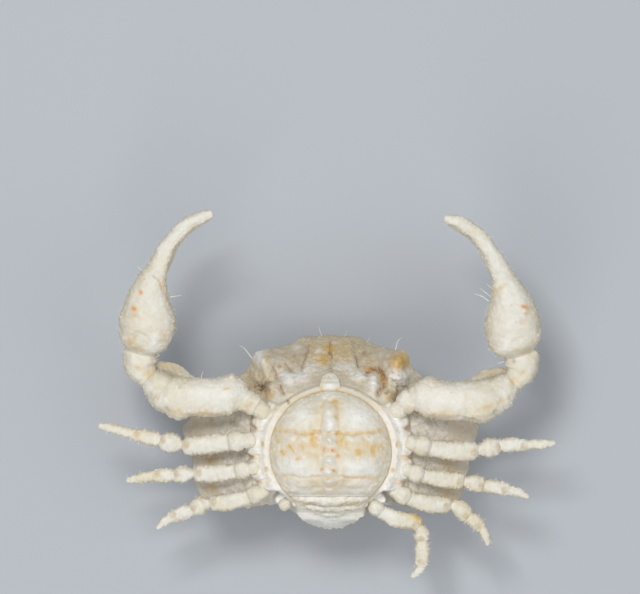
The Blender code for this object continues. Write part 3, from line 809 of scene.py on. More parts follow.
    belly_stains: tuple[Field, ...] = (
        *marks(Stain.OCHRE,
            (0.2, 8.6, 2.6, 1.3, 0.42), (-0.1, 9.0, 1.0, 0.85, 0.75), (-0.1, 9.2, 0.5, 0.4, 1.0),
            (-0.6, 8.0, 1.0, 0.9, 0.7), (1.2, 8.7, 1.0, 1.2, 0.5), (-1.7, 9.4, 0.6, 0.4, 0.6),
            (7.1, 7.95, 1.3, 0.9, 0.9, 10.0), (3.9, 7.0, 0.8, 0.45, 0.8),
            (5.3, 6.2, 0.4, 0.9, 0.75, 12.0), (-7.6, -1.75, 0.6, 0.4, 0.5), (7.6, -1.75, 0.6, 0.4, 0.5),
            (6.9, -4.2, 0.6, 0.3, 0.5), (-6.9, -4.2, 0.6, 0.3, 0.4), (7.7, 1.2, 0.6, 0.4, 0.4),
            (-7.7, 1.2, 0.6, 0.4, 0.4), (-6.3, 8.3, 0.5, 0.9, 0.45, 25.0), (-5.5, 7.6, 1.0, 0.5, 0.3),
            (4.0, 7.6, 0.9, 0.8, 0.35), (-6.2, 4.5, 0.5, 0.4, 0.7), (5.9, 4.4, 0.4, 0.5, 0.6),
            (-1.9, 6.2, 0.7, 0.3, 0.35), (1.7, 6.3, 0.8, 0.3, 0.35, -25.0),
        ),
        *marks(Stain.RUST,
            (-4.22, 3.82, 0.2, 0.16, 1.0, 30.0), (-0.15, 8.6, 0.25, 0.16, 0.6),
            (-6.9, 5.3, 0.9, 0.6, 0.4), (3.35, 8.6, 0.22, 0.16, 0.8), (-3.6, 8.35, 0.2, 0.12, 0.45),
            (5.2, 6.1, 0.35, 0.7, 0.75, 12.0), (4.9, 4.8, 0.3, 0.35, 0.8), (4.1, 7.05, 0.7, 0.28, 0.7),
        ),
        *marks(Stain.GREY,
            (-6.5, 5.6, 1.2, 0.9, 0.65), (-5.2, 6.0, 0.7, 0.9, 0.5), (-4.9, 4.7, 0.5, 0.4, 0.5),
            (6.3, 4.8, 0.9, 0.4, 0.5), (7.9, 4.4, 0.7, 0.5, 0.5), (5.0, 8.9, 1.4, 0.5, 0.22),
            (-4.6, 9.0, 1.4, 0.5, 0.22),
        ),
        *marks(Stain.DARK,
            (-6.95, 5.15, 0.7, 0.45, 0.65), (5.6, 4.75, 0.25, 0.25, 0.4), (-6.1, 5.7, 0.25, 0.18, 0.6),
            (6.3, 5.9, 0.3, 0.2, 0.4), (6.9, 5.4, 0.35, 0.15, 0.5), (6.3, 6.75, 0.14, 0.1, 0.6),
            (6.8, 6.5, 0.12, 0.1, 0.6), (7.1, 5.75, 0.14, 0.1, 0.6), (5.9, 6.4, 0.12, 0.16, 0.5),
            (-5.1, 7.35, 0.14, 0.12, 0.7), (-12.0, 1.95, 0.25, 0.2, 0.3), (-9.5, 1.6, 0.6, 0.35, 0.3),
            (9.6, 1.6, 0.6, 0.4, 0.3), (11.6, 1.7, 0.3, 0.2, 0.3), (-4.2, 3.82, 0.15, 0.13, 1.0),
        ),
        *marks(Stain.WHITE,
            (-1.25, 8.9, 0.4, 0.32, 0.95), (-7.0, 8.4, 0.75, 0.9, 0.85, 15.0),
            (7.0, 6.25, 1.3, 0.85, 1.0), (-2.9, 6.4, 1.1, 0.6, 0.95), (-4.4, 6.2, 0.9, 0.75, 1.0),
            (2.8, 6.5, 1.1, 0.6, 0.95), (-1.5, 7.3, 1.3, 0.5, 0.6), (1.5, 7.3, 1.2, 0.5, 0.6),
            (-2.4, 7.2, 0.8, 0.5, 0.5), (4.3, 5.9, 0.65, 1.1, 1.0), (-3.4, 9.3, 0.5, 0.4, 0.6),
            # The last mark on the next line, on the rear lobe, is partly the lobe's own white and partly
            # painted light where the lobe slopes away from the lights
            (-5.6, 7.9, 0.8, 0.5, 0.6), (7.6, 5.6, 0.7, 0.4, 0.7), (0.0, -8.0, 3.8, 1.5, 0.85),
            (-5.0, -6.1, 1.3, 0.8, 0.9), (5.0, -6.1, 1.2, 0.8, 0.9),
        ),
        Stroke(Stain.RUST, ((-2.1, 9.4), (-2.2, 8.9), (-2.4, 8.47), (-2.83, 7.2)), 0.12, 0.4),
        Stroke(Stain.GREY, ((2.3, 9.8), (2.45, 9.0), (2.5, 8.35), (2.8, 7.26)), 0.12, 0.8),
        Stroke(Stain.RUST, ((2.5, 8.35), (2.6, 7.8), (2.8, 7.26)), 0.09, 0.56),
        Stroke(Stain.RUST, ((0.06, 9.9), (0.08, 8.8), (0.08, 6.9)), 0.05, 0.32),
        Stroke(Stain.RUST, ((-4.5, 7.5), (-4.25, 7.15), (-3.95, 6.8)), 0.13, 0.56),
        Stroke(Stain.RUST, ((-5.55, 7.1), (-5.45, 6.5), (-5.2, 5.9)), 0.14, 0.32),
        Stroke(Stain.RUST, ((-4.95, 5.5), (-4.8, 5.0), (-4.6, 4.6)), 0.12, 0.64),
        Stroke(Stain.RUST, ((3.6, 6.6), (4.0, 6.95), (4.4, 7.15), (5.1, 6.8)), 0.25, 0.8),
        Stroke(Stain.RUST, ((5.1, 6.8), (5.45, 6.1), (5.3, 5.4), (4.8, 4.6)), 0.24, 0.85),
        Stroke(Stain.DARK, ((-7.3, 5.6), (-6.95, 5.15), (-6.35, 5.85)), 0.07, 0.56),
        Stroke(Stain.DARK, ((-7.75, 5.05), (-6.4, 5.1)), 0.07, 0.48),
        Stroke(Stain.DARK, ((6.0, 5.95), (6.5, 5.7), (6.9, 5.45), (7.4, 5.3)), 0.06, 0.44),
        Stroke(Stain.DARK, ((6.6, 5.3), (7.2, 5.2)), 0.08, 0.48),
        Stroke(Stain.DARK, ((-2.9, 6.85), (-2.7, 6.8)), 0.05, 0.56),
        Stroke(Stain.GREY, ((5.6, 4.6), (6.6, 4.9), (7.6, 4.8)), 0.1, 0.6),
    )
    back_stains: tuple[Field, ...] = (
        *marks(Stain.RUST,
            (3.0, 6.6, 1.0, 1.3, 0.9), (-3.0, 6.6, 1.0, 1.3, 0.9), (3.8, 5.2, 0.5, 0.5, 0.6),
            (-3.8, 5.2, 0.5, 0.5, 0.6), (1.8, 4.9, 0.35, 0.6, 0.5), (-1.8, 4.9, 0.35, 0.6, 0.5),
            (9.5, 3.8, 0.8, 0.8, 0.75), (-9.3, 4.4, 0.8, 0.8, 0.75), (8.1, 5.9, 0.4, 0.4, 0.6),
            (6.5, 5.9, 0.4, 0.4, 0.6), (-5.9, 6.5, 0.4, 0.4, 0.6), (-7.8, 6.3, 0.4, 0.4, 0.6),
            (8.8, -5.3, 0.7, 0.5, 0.6), (-11.8, -0.4, 0.5, 0.5, 0.6), (-8.4, -4.9, 0.6, 0.5, 0.5),
            (2.6, 2.1, 0.22, 0.22, 0.6), (-2.6, 2.1, 0.22, 0.22, 0.6), (1.2, 1.9, 0.18, 0.18, 0.5),
            (-1.2, 1.9, 0.18, 0.18, 0.5),
        ),
        *marks(Stain.GREY,
            (-12.7, 1.3, 0.6, 0.6, 0.5), (5.9, 8.0, 1.4, 0.9, 0.45), (-5.9, 8.0, 1.4, 0.9, 0.45),
            (4.5, 1.5, 3.0, 3.2, 0.22), (-4.5, 1.5, 3.0, 3.2, 0.22),
        ),
        *marks(Stain.OCHRE,
            (12.1, -1.0, 0.7, 0.7, 0.6), (11.4, -4.1, 0.7, 0.6, 0.6), (12.0, 1.9, 0.6, 0.6, 0.5),
            (-10.5, 0.9, 0.6, 0.7, 0.5), (-10.3, -2.0, 0.6, 0.8, 0.5), (10.3, 0.8, 0.6, 0.7, 0.5),
            (-6.7, -0.5, 0.5, 0.4, 0.6), (6.5, -0.8, 0.4, 0.4, 0.6), (-5.0, -1.0, 0.4, 0.4, 0.5),
            (-5.0, -3.6, 0.4, 0.4, 0.5),
        ),
        Stroke(Stain.RUST, ((-2.6, 8.9), (0.0, 8.2), (2.6, 8.9)), 0.4, 0.6),
        Stroke(Stain.RUST, ((1.0, -1.9), (1.5, -2.3), (2.0, -1.9)), 0.18, 0.6),
        Stroke(Stain.RUST, ((-1.0, -1.9), (-1.5, -2.3), (-2.0, -1.9)), 0.18, 0.6),
        Stroke(Stain.RUST, ((3.5, -5.2), (2.4, -4.3), (1.6, -4.1)), 0.28, 0.7),
        Stroke(Stain.RUST, ((-3.5, -5.2), (-2.4, -4.3), (-1.4, -4.1)), 0.28, 0.7),
    )

    def __post_init__(self) -> None:
        """Works out the whole edge from its left half, as directions from the belly's middle."""
        left = smooth_path(self.edge, 10)
        right = left[-2:0:-1] * (-1.0, 1.0, 1.0)
        whole = np.vstack([left, right])
        offset = whole[:, :2] - (0.0, BELLY_CENTRE_Y)
        direction = np.mod(np.arctan2(offset[:, 1], offset[:, 0]), 2 * math.pi)
        order = np.argsort(direction)
        self.edge_direction = direction[order]
        self.edge_radius = np.hypot(offset[:, 0], offset[:, 1])[order]
        self.edge_height = whole[order, 2]

    def edge_at(self, direction: Array) -> tuple[Array, Array]:
        """The edge's radius and height in these directions."""
        wanted = np.mod(direction, 2 * math.pi)
        turn = 2 * math.pi
        radius = np.interp(wanted, self.edge_direction, self.edge_radius, period=turn)
        scallops = 0.05 * np.sin(29.0 * wanted + 2.0 * np.sin(5.0 * wanted)) + 0.045 * np.sin(83.0 * wanted)
        radius = radius + scallops * (1.0 - 0.7 * smoothstep(np.sin(wanted) / 0.3))
        return radius, np.interp(wanted, self.edge_direction, self.edge_height, period=turn)

    def directions(self) -> Array:
        """Directions that part the edge into stretches of equal length."""
        across = self.edge_radius * np.cos(self.edge_direction)
        along = self.edge_radius * np.sin(self.edge_direction)
        loop = np.column_stack([across, along])
        far = lengths_along(np.vstack([loop, loop[:1]]))
        turned = np.concatenate([self.edge_direction, [self.edge_direction[0] + 2 * math.pi]])
        return np.interp(np.arange(self.sides) * far[-1] / self.sides, far, turned)

    def belly_height(self, x: Array, y: Array) -> Array:
        """Height of the belly side: flanks, front face, chest, rim and the basin of the abdomen."""
        out_y = y - BELLY_CENTRE_Y
        radius = np.hypot(x, out_y)
        edge_radius, edge_height = self.edge_at(np.arctan2(out_y, x))
        share = np.clip(radius / edge_radius, 0.0, 1.0)
        flank = edge_height + self.flank_rise * (1.0 - share**1.6)
        climb = np.clip((1.0 - share) / 0.43, 0.0, 1.0) ** 0.82
        face = mix(edge_height, self.chest_height, climb)
        height = mix(flank, face, smoothstep((out_y / np.maximum(radius, 0.01) - 0.5) / 0.25))
        inward = smoothstep((1.0 - share) / mix(0.1, 0.05, smoothstep((-7.3 - y) / 0.5)))
        height = height + 1.1 * bump(abs(x), y, (6.4, 8.0), (1.2, 1.0)) * inward
        height = height - 0.9 * bump(abs(x), y, (4.9, 6.6), (1.0, 1.3))
        height = height + rise_at(x, y, self.face_forms) * inward
        drop = self.chest_drop_at_tail * smoothstep((-5.2 - y) / 2.2)
        chest = self.chest_height - drop + rise_at(x, y, self.chest_forms)
        chest = chest + 0.5 * smoothstep((7.3 - radius) / 0.7) - 0.6 * smoothstep((radius - 7.3) / 1.1)
        at_side = smoothstep((abs(x) - 5.0) / 1.2) * smoothstep((y + 5.6) / 1.0)
        reach = mix(self.chest_reach, self.chest_reach_at_tail, smoothstep((-4.0 - y) / 1.5))
        reach = mix(reach, 6.7, smoothstep((y - 2.8) / 1.6))
        reach = reach + 1.2 * at_side - 0.6 * at_side * sum(
            np.exp(-(((y - notch) / 0.35) ** 2)) for notch in self.chest_notches
        )
        height = mix(height, np.maximum(height, chest), smoothstep((reach + 0.1 - radius) / 0.4))
        slot = smoothstep((self.slot_half_width - abs(x)) / 0.12) * (y > 0.0)
        on_rim = smoothstep((radius - self.rim_inner + 0.1) / 0.16)
        on_rim = on_rim * smoothstep((self.rim_outer + 0.2 - radius) / 0.34) * (1.0 - slot)
        rise = smoothstep((y + 5.6) / 1.0)
        rim = self.chest_height - drop + (self.rim_height - self.chest_height) * rise
        height = mix(height, rim, 0.9 * on_rim)
        sunk = np.maximum(smoothstep((self.basin_radius + 0.06 - radius) / 0.1),
                          slot * smoothstep((self.slot_end_y - y) / 0.15))
        on_ledge = smoothstep((radius - 5.7) / 0.15)
        floor = self.basin_height + (self.ledge_height - self.basin_height) * on_ledge
        height = mix(height, np.minimum(height, floor - drop), sunk)
        bed = np.interp(y, self.bed_y, self.bed_height)
        under = smoothstep((4.1 - abs(x)) / 0.9) * smoothstep((y + 8.5) / 0.5) * smoothstep((-5.35 - y) / 0.1)
        height = mix(height, np.maximum(height, bed), under)
        shoulder = smoothstep((1.25 - np.hypot((abs(x) - 4.6) / 1.0, (y + 5.95) / 0.75)) / 0.4)
        raised = np.maximum(height, self.shoulder_height)
        return mix(height, raised, shoulder * smoothstep((1.0 - share) / 0.04))

    def back_height(self, x: Array, y: Array) -> Array:
        """Height of the back above the floor that it lies on."""
        out_y = y - BELLY_CENTRE_Y
        edge_radius, edge_height = self.edge_at(np.arctan2(out_y, x))
        share = np.clip(np.hypot(x, out_y) / edge_radius, 0.0, 1.0)
        height = mix(edge_height, 0.6, (1.0 - share**2.7) ** 0.5)
        height = height - 1.6 * bump(abs(x), y, (5.2, 1.2), (3.4, 4.0))
        midline = smoothstep((9.0 - y) / 3.0) * smoothstep((y + 6.0) / 2.0)
        height = height + 1.3 * np.exp(-((x / 1.5) ** 2)) * midline
        height = height - 0.6 * np.exp(-((x / 0.5) ** 2)) * smoothstep((y - 1.0) / 2.0)
        for mark_x, mark_y, width_x, width_y, depth in self.back_marks:
            height = height + depth * bump(abs(x), y, (mark_x, mark_y), (width_x, width_y))
        for mark_x, mark_y, width_x, width_y, depth in self.lopsided_back_marks:
            height = height + depth * bump(x, y, (mark_x, mark_y), (width_x, width_y))
        return np.maximum(height, self.least_back_height)

    def ring_values(self) -> tuple[Array, Array]:
        """Ring values of the belly side from the edge inwards, and of the back from within out.

        Above 1 a ring lies between the belly circle and the edge, and below 1 within the circle.
        """
        flank = np.linspace(2.0, 1.0, 66, endpoint=False)
        rim = np.linspace(1.0, 0.82, 30, endpoint=False)
        belly = np.concatenate([flank, rim, np.linspace(0.82, 0.12, 6)])
        back = 2.0 - 1.96 * np.linspace(0.0, 1.0, 82)[1:] ** 1.3
        return belly, back[::-1]

    def side_points(self, values: Array, belly: bool) -> Array:
        """Points of one side of the body."""
        direction = self.directions()[None, :]
        edge_radius, _ = self.edge_at(direction)
        value = values[:, None]
        inner = np.minimum(value, 1.0) * self.belly_radius
        outer = mix(self.belly_radius, edge_radius, np.maximum(value - 1.0, 0.0))
        radius = np.where(value > 1.0, outer, inner)
        x = radius * np.cos(direction)
        y = BELLY_CENTRE_Y + radius * np.sin(direction)
        height = self.belly_height(x, y) if belly else self.back_height(x, y)
        return np.stack([x, y, height], -1)

    def fields(self, points: Array, belly_rings: int) -> dict[str, Array]:
        """Granules, waves and stains for every point of the skin, with painted shade and painted light on the
        flanks between the legs.
        """
        x, y = points[..., 0], points[..., 1]
        belly_side = np.zeros(x.shape)
        belly_side[-belly_rings:] = 1.0
        radius = np.hypot(x, y - BELLY_CENTRE_Y)
        share = radius / self.edge_at(np.arctan2(y - BELLY_CENTRE_Y, x))[0]
        outside = smoothstep((radius - 7.6) / 0.5)
        front = smoothstep((y - 4.6) / 1.2)
        granule = np.where(belly_side > 0, outside * mix(0.7, 0.5, front) + 0.5, 1.0)
        wave = np.where(belly_side > 0, outside * mix(0.8, 1.3, front) + 0.2, 1.0)
        belly = stains_at(x, y, self.belly_stains)
        back = stains_at(x, y, self.back_stains)
        over_edge = np.where(belly_side > 0, 1.0, smoothstep((share - 0.93) / 0.06))
        found = {stain: mix(back[stain], belly[stain], over_edge) for stain in Stain}
        between = over_edge * smoothstep((3.4 - y) / 1.0) * smoothstep((y + 6.0) / 0.8)
        # Painted shade: grey broken into dark speckle on the flank between the legs near the chest, where the
        # legs shade it
        shade = between * smoothstep((abs(x) - 8.25) / 0.3) * smoothstep((11.4 - abs(x)) / 1.2)
        deepen(found, Stain.GREY, 0.16 * shade)
        # Painted light: the flank between the legs is whitened to offset the shade that the legs cast on it
        deepen(found, Stain.WHITE, 0.75 * between)
        speckle = np.sin(17.0 * x + 2.1 * np.sin(5.3 * y)) * np.sin(9.0 * y + 2.3 * np.sin(4.7 * x))
        speckle = np.clip((speckle - 0.15) / 0.6, 0.0, 1.0) * shade
        deepen(found, Stain.DARK, 0.3 * speckle)
        # Painted light again, stronger towards the margin, which also gets its real tan
        outer = between * smoothstep((abs(x) - 10.8) / 1.2)
        deepen(found, Stain.WHITE, 0.8 * outer)
        crack = between * np.exp(-(((abs(x) - 8.2 + 0.12 * abs(y + 1.0)) / 0.07) ** 2))
        deepen(found, Stain.DARK, 0.5 * crack)
        tan = between * np.exp(-(((abs(x) - 11.9) / 1.0) ** 2)) * smoothstep((0.3 - y) / 0.6)
        deepen(found, Stain.OCHRE, np.maximum(0.5 * tan, 0.26 * outer))
        face = over_edge * smoothstep((radius - 6.7) / 0.4) * smoothstep((y - 4.2) / 1.0)
        bare = face * (1.0 - found[Stain.WHITE])
        deepen(found, Stain.OCHRE, 0.18 * bare)
        deepen(found, Stain.GREY, 0.32 * bare)
        flank = belly_side * smoothstep((radius - 7.5) / 0.4) * (1.0 - smoothstep((share - 0.86) / 0.1))
        deepen(found, Stain.OCHRE, 0.12 * flank * smoothstep((4.0 - y) / 1.2))
        rim_line = np.exp(-(((radius - 6.72) / 0.1) ** 2)) * smoothstep((y + 4.5) / 1.0) * belly_side
        deepen(found, Stain.OCHRE, 0.3 * rim_line)
        chest = belly_side * smoothstep((8.0 - radius) / 0.5) * smoothstep((4.6 - y) / 1.5)
        deepen(found, Stain.WHITE, 0.25 * chest)
        on_rim = np.exp(-(((radius - 6.36) / 0.22) ** 2)) * belly_side
        deepen(found, Stain.OCHRE, 0.09 * on_rim * smoothstep((y + 5.0) / 2.0))
        basin = belly_side * smoothstep((6.16 - radius) / 0.05)
        deepen(found, Stain.OCHRE, 0.5 * basin)
        for chest_form in self.chest_forms[:self.oval_spots]:
            spot = smoothstep(chest_form.rise(x, y) / chest_form.height / 0.6) * belly_side
            deepen(found, Stain.OCHRE, 0.55 * spot)
            deepen(found, Stain.GREY, 0.25 * spot)
        return shell_fields(granule, wave, found)

    def build(self, shop: Workshop) -> None:
        """Makes the body and puts it in the frame."""
        belly_values, back_values = self.ring_values()
        back = self.side_points(back_values, belly=False)
        belly = self.side_points(belly_values, belly=True)
        points = np.concatenate([back, belly])
        middle = float(self.back_height(np.zeros(1), np.full(1, BELLY_CENTRE_Y))[0])
        start = np.array([0.0, BELLY_CENTRE_Y, middle])
        end = np.array([0.0, BELLY_CENTRE_Y, self.basin_height])
        mesh = closed_skin("body_skin", points, start, end, self.fields(points, len(belly_values)))
        look = ShellFinish("chalky_granular_carapace", ivory="#DDD8CC", cream="#CFC2A0", cool="#C9C6BD",
                           cream_share=0.6, cavity_shade_share=0.3, roughness=0.62, grain_height=0.04)
        relief = Relief(granule_size=0.46, granule_height=0.13, wave_size=0.95, wave_height=0.17)
        shop.settle("body_shell", mesh, relief, look)


# The abdomen's plate, the telson before it and the tail rings behind it
@dataclass
class Abdomen:
    """The female's wide round abdomen: fused rings with a beaded middle ridge."""

    slot: str = "abdomen"
    radius: float = 6.04
    rear_y: float = -5.55
    underside: float = 12.42
    telson_underside: float = 12.55
    rim_height: float = 13.3
    top: float = 15.4
    rear_slope: float = 0.7
    groove_lines: tuple[Groove, ...] = (
        Groove(((-5.6, 1.15), (-4.4, 1.0), (-3.4, 0.8), (-2.2, 0.8), (-1.1, 0.9)), 0.16, 0.13),
        Groove(((-1.1, 0.9), (0.0, 0.8), (0.8, 0.85)), 0.14, 0.08),
        Groove(((0.8, 0.85), (2.0, 0.72), (3.4, 0.78), (4.6, 0.95), (5.5, 1.1)), 0.16, 0.13),
        Groove(((-5.4, -3.45), (-4.2, -3.5), (-3.0, -3.65), (-1.1, -3.6)), 0.16, 0.12),
        Groove(((-1.1, -3.6), (0.9, -3.6)), 0.12, 0.08),
        Groove(((0.9, -3.65), (3.0, -3.75), (5.2, -3.6)), 0.16, 0.12),
        Groove(((-0.75, 3.9), (-0.95, 2.6), (-1.05, 1.2), (-0.95, 0.4), (-1.1, -0.4)), 0.22, 0.06),
        Groove(((-1.1, -0.4), (-0.85, -1.5), (-1.0, -2.6), (-0.85, -3.4), (-0.95, -5.0)), 0.22, 0.06),
        Groove(((0.7, 3.9), (0.8, 2.6), (0.9, 1.2), (0.75, 0.4), (0.95, -0.4)), 0.22, 0.06),
        Groove(((0.95, -0.4), (0.75, -1.5), (0.9, -2.6), (0.7, -3.4), (0.85, -5.0)), 0.22, 0.06),
        Groove(((-1.35, 5.0), (-1.1, 4.45), (-0.6, 4.1), (0.0, 3.95), (0.6, 4.1), (1.1, 4.5), (1.3, 4.9)),
               0.13, 0.12),
        Groove(((-5.3, -1.0), (-4.2, -1.35), (-2.2, -1.45)), 0.35, 0.07),
        Groove(((5.2, -1.0), (4.3, -1.35), (2.4, -1.45)), 0.35, 0.07),
        Groove(((-3.6, 4.1), (-2.4, 2.6), (-2.0, 1.2)), 0.3, 0.05),
        Groove(((3.6, 4.1), (2.2, 2.6), (1.8, 1.2)), 0.3, 0.05),
    )
    ridge_beads: tuple[Lump, ...] = (
        *lumps(
            (-0.1, 3.1, 0.6, 0.4, 0.14), (-0.1, 2.1, 0.6, 0.5, 0.18), (-0.1, 1.25, 0.5, 0.3, 0.12),
            (-0.1, 0.15, 0.55, 0.42, 0.2), (-0.12, -0.95, 0.42, 0.3, 0.1), (-0.12, -1.95, 0.5, 0.36, 0.2),
            (-0.15, -3.0, 0.5, 0.36, 0.18), (-0.15, -4.05, 0.55, 0.36, 0.22),
            (-0.12, -4.9, 0.5, 0.26, 0.12), (0.0, 4.5, 0.9, 0.3, 0.16), (-3.9, 0.2, 0.4, 0.3, 0.08),
            (-2.7, 0.2, 0.4, 0.3, 0.08), (3.9, 0.3, 0.4, 0.35, 0.08), (2.4, 0.15, 0.5, 0.3, 0.08),
            (-3.9, -2.6, 1.1, 0.45, 0.08), (2.9, -2.6, 1.3, 0.45, 0.08), (-2.6, -4.4, 0.9, 0.3, 0.08),
            (2.4, -4.4, 0.9, 0.3, 0.08), (-2.9, 2.7, 1.2, 0.9, 0.08), (2.8, 2.6, 1.3, 1.0, 0.08),
            (-0.35, -0.9, 0.14, 0.14, -0.06), (0.24, -0.95, 0.14, 0.14, -0.08),
        ),
    )
    stains: tuple[Field, ...] = (
        Stroke(Stain.OCHRE, ((-5.4, 1.1), (-4.0, 0.95), (-2.9, 0.75)), 0.24, 0.5),
        Stroke(Stain.OCHRE, ((-2.9, 0.75), (-1.9, 0.8), (-1.1, 0.95)), 0.26, 0.6),
        Stroke(Stain.OCHRE, ((0.7, 0.85), (2.4, 0.7), (3.6, 0.8), (5.2, 1.05)), 0.23, 0.6),
        Stroke(Stain.OCHRE, ((1.1, -3.45), (2.6, -3.6), (3.8, -3.75), (4.6, -3.7)), 0.22, 0.5),
        *marks(Stain.OCHRE,
            (3.9, -3.72, 0.6, 0.14, 0.5), (-2.9, -0.6, 2.8, 1.1, 0.36), (3.2, -0.7, 2.7, 1.1, 0.34),
            (0.0, -4.2, 4.6, 0.9, 0.28), (-0.2, 0.9, 0.3, 0.17, 0.6), (-0.1, -1.45, 0.5, 0.2, 0.4),
            (-0.2, -2.5, 0.5, 0.2, 0.45), (-0.1, -3.6, 0.5, 0.2, 0.6), (-0.1, -4.5, 0.5, 0.17, 0.45),
        ),
        Stroke(Stain.OCHRE, ((-1.15, 3.0), (-1.05, 1.2), (-1.3, -0.4), (-1.0, -4.6)), 0.55, 0.2),
        Stroke(Stain.OCHRE, ((0.75, 3.4), (0.85, 1.2), (1.0, -0.4), (0.9, -4.6)), 0.5, 0.2),
        *marks(Stain.OCHRE,
            (-4.55, -3.5, 0.3, 0.15, 0.6), (-3.7, -3.5, 0.28, 0.14, 0.6), (-1.7, 0.1, 0.5, 1.0, 0.9),
            (-1.3, 2.0, 0.35, 0.5, 0.4), (-1.3, -1.4, 0.5, 0.35, 0.6), (-1.6, -3.6, 0.6, 0.35, 0.3),
            (0.62, 0.75, 0.22, 0.35, 0.85), (1.05, 0.1, 0.45, 0.9, 0.85),
            (0.75, -1.45, 0.25, 0.3, 0.8, 35.0), (0.45, 3.8, 0.45, 0.4, 0.8),
            (0.66, 2.4, 0.25, 0.45, 0.7, 12.0), (-0.85, 3.3, 0.4, 0.5, 0.35),
            (-0.95, 2.0, 0.15, 0.7, 0.35, -10.0), (-3.9, -0.7, 0.24, 0.6, 1.0, 25.0),
            (-4.7, -1.2, 0.32, 0.38, 1.0, 20.0), (-3.15, -1.7, 0.32, 0.26, 0.9),
            (-2.85, -0.6, 0.22, 0.45, 0.75, 10.0), (2.75, -1.1, 0.45, 0.55, 0.95),
            (1.6, -0.4, 0.3, 0.6, 0.5), (4.25, -0.9, 0.5, 0.75, 0.85), (5.1, -0.5, 0.3, 0.6, 0.5),
            (-5.3, 0.0, 0.3, 0.6, 0.45), (-0.9, -2.85, 0.2, 0.2, 0.9), (0.24, -2.85, 0.22, 0.2, 0.9),
            (-3.2, 0.1, 0.2, 0.5, 0.4), (3.2, 0.2, 0.25, 0.5, 0.35), (-2.2, -1.3, 0.5, 0.5, 0.4),
            (-0.3, -3.7, 0.3, 0.18, 0.5), (-0.65, -4.85, 0.14, 0.3, 0.55), (0.25, -4.75, 0.2, 0.16, 0.6),
            (-0.2, -5.3, 0.6, 0.1, 0.4), (0.75, 3.95, 0.3, 0.3, 0.35),
        ),
        *marks(Stain.GREY,
            (-1.75, 3.4, 0.45, 0.9, 0.22), (1.4, -3.9, 0.4, 0.6, 0.3), (-1.7, -4.0, 0.5, 0.5, 0.25),
            (4.8, -2.0, 0.4, 1.2, 0.2),
        ),
        *marks(Stain.CORAL,
            (0.24, -0.93, 0.24, 0.19, 1.0), (-0.6, -0.82, 0.2, 0.24, 0.6), (0.68, -1.5, 0.2, 0.22, 0.4),
        ),
        *marks(Stain.WHITE,
            (2.8, 2.4, 1.5, 1.2, 0.75), (-3.0, 2.6, 1.2, 0.9, 0.55), (-0.1, 2.0, 0.5, 0.9, 0.8),
            (-0.1, 0.0, 0.5, 0.5, 0.7), (-0.15, -2.0, 0.5, 0.35, 0.8), (-0.2, -3.1, 0.4, 0.3, 0.8),
            (-0.2, -4.05, 0.5, 0.35, 0.85), (-3.8, 0.15, 0.3, 0.3, 0.8), (-2.7, 0.15, 0.35, 0.3, 0.75),
            (4.0, 0.3, 0.35, 0.35, 0.9), (2.3, 0.2, 0.5, 0.3, 0.6), (-3.8, -2.6, 1.2, 0.6, 0.5),
            (2.6, -2.6, 1.4, 0.6, 0.6), (0.0, 4.5, 0.9, 0.3, 0.7), (-2.4, -5.05, 1.2, 0.25, 0.8),
            (2.3, -5.05, 1.2, 0.25, 0.8), (-0.1, -5.1, 0.6, 0.3, 0.7), (-3.0, -4.4, 1.0, 0.3, 0.4),
            (2.8, -4.4, 1.0, 0.3, 0.4),
        ),
        Stroke(Stain.GREY, ((3.6, 0.5), (3.95, 0.25)), 0.05, 0.8),
    )

    def top_height(self, x: Array, y: Array) -> Array:
        """Height of the domed plate, with its ridge, beads and grooves."""
        share = np.clip(np.hypot(x, y - BELLY_CENTRE_Y) / self.radius, 0.0, 1.0)
        inner = 1.0 - share**4
        height = mix(self.rim_height, self.top, (1.0 - share**2.6) ** 0.85)
        height = height + 0.2 * np.exp(-((x / 0.9) ** 2)) * inner
        height = height - self.rear_slope * smoothstep((-3.6 - y) / 1.9) * inner
        height = height - 0.45 * smoothstep((-4.7 - y) / 0.8) ** 2
        height = height + 2.2 * rise_at(x, y, self.ridge_beads) * inner
        return height + rise_at(x, y, self.groove_lines) * (1.0 - share**8)

    def plate(self, shop: Workshop) -> None:
        """Makes the round plate."""
        sides, rings = 300, 96
        turn = 2 * math.pi * np.arange(sides) / sides
        reach = np.minimum(self.radius, (BELLY_CENTRE_Y - self.rear_y) / np.maximum(-np.sin(turn), 1e-3))
        share = np.concatenate([[0.25, 0.85, 0.985, 1.0], 1.0 - np.linspace(0.0, 0.985, rings) ** 1.15])
        radius = reach[None, :] * share[:, None]
        x = radius * np.cos(turn)
        y = BELLY_CENTRE_Y + radius * np.sin(turn)
        height = self.top_height(x, y)
        height[:3] = self.underside
        height[3] = mix(self.underside, height[4], 0.5)
        height[4] = height[4] - 0.06
        found = stains_at(x, y, self.stains)
        edge = np.exp(-(((reach[None, :] - radius) / 0.1) ** 2))
        deepen(found, Stain.OCHRE, 0.35 * edge * smoothstep((y + 5.3) / 0.3))
        far = np.hypot(x, y - BELLY_CENTRE_Y) / self.radius
        smooth = 0.3 + 0.5 * smoothstep((far - 0.75) / 0.2)
        fields = shell_fields(smooth, np.full(x.shape, 1.0), found)
        mesh = domed_skin("abdomen_skin", x, y, height, (0.0, BELLY_CENTRE_Y), self.underside, fields)
        relief = Relief(granule_size=0.42, granule_height=0.09, wave_size=0.8, wave_height=0.08)
        shop.settle("abdomen_plate", mesh, relief, ABDOMEN_SHELL)

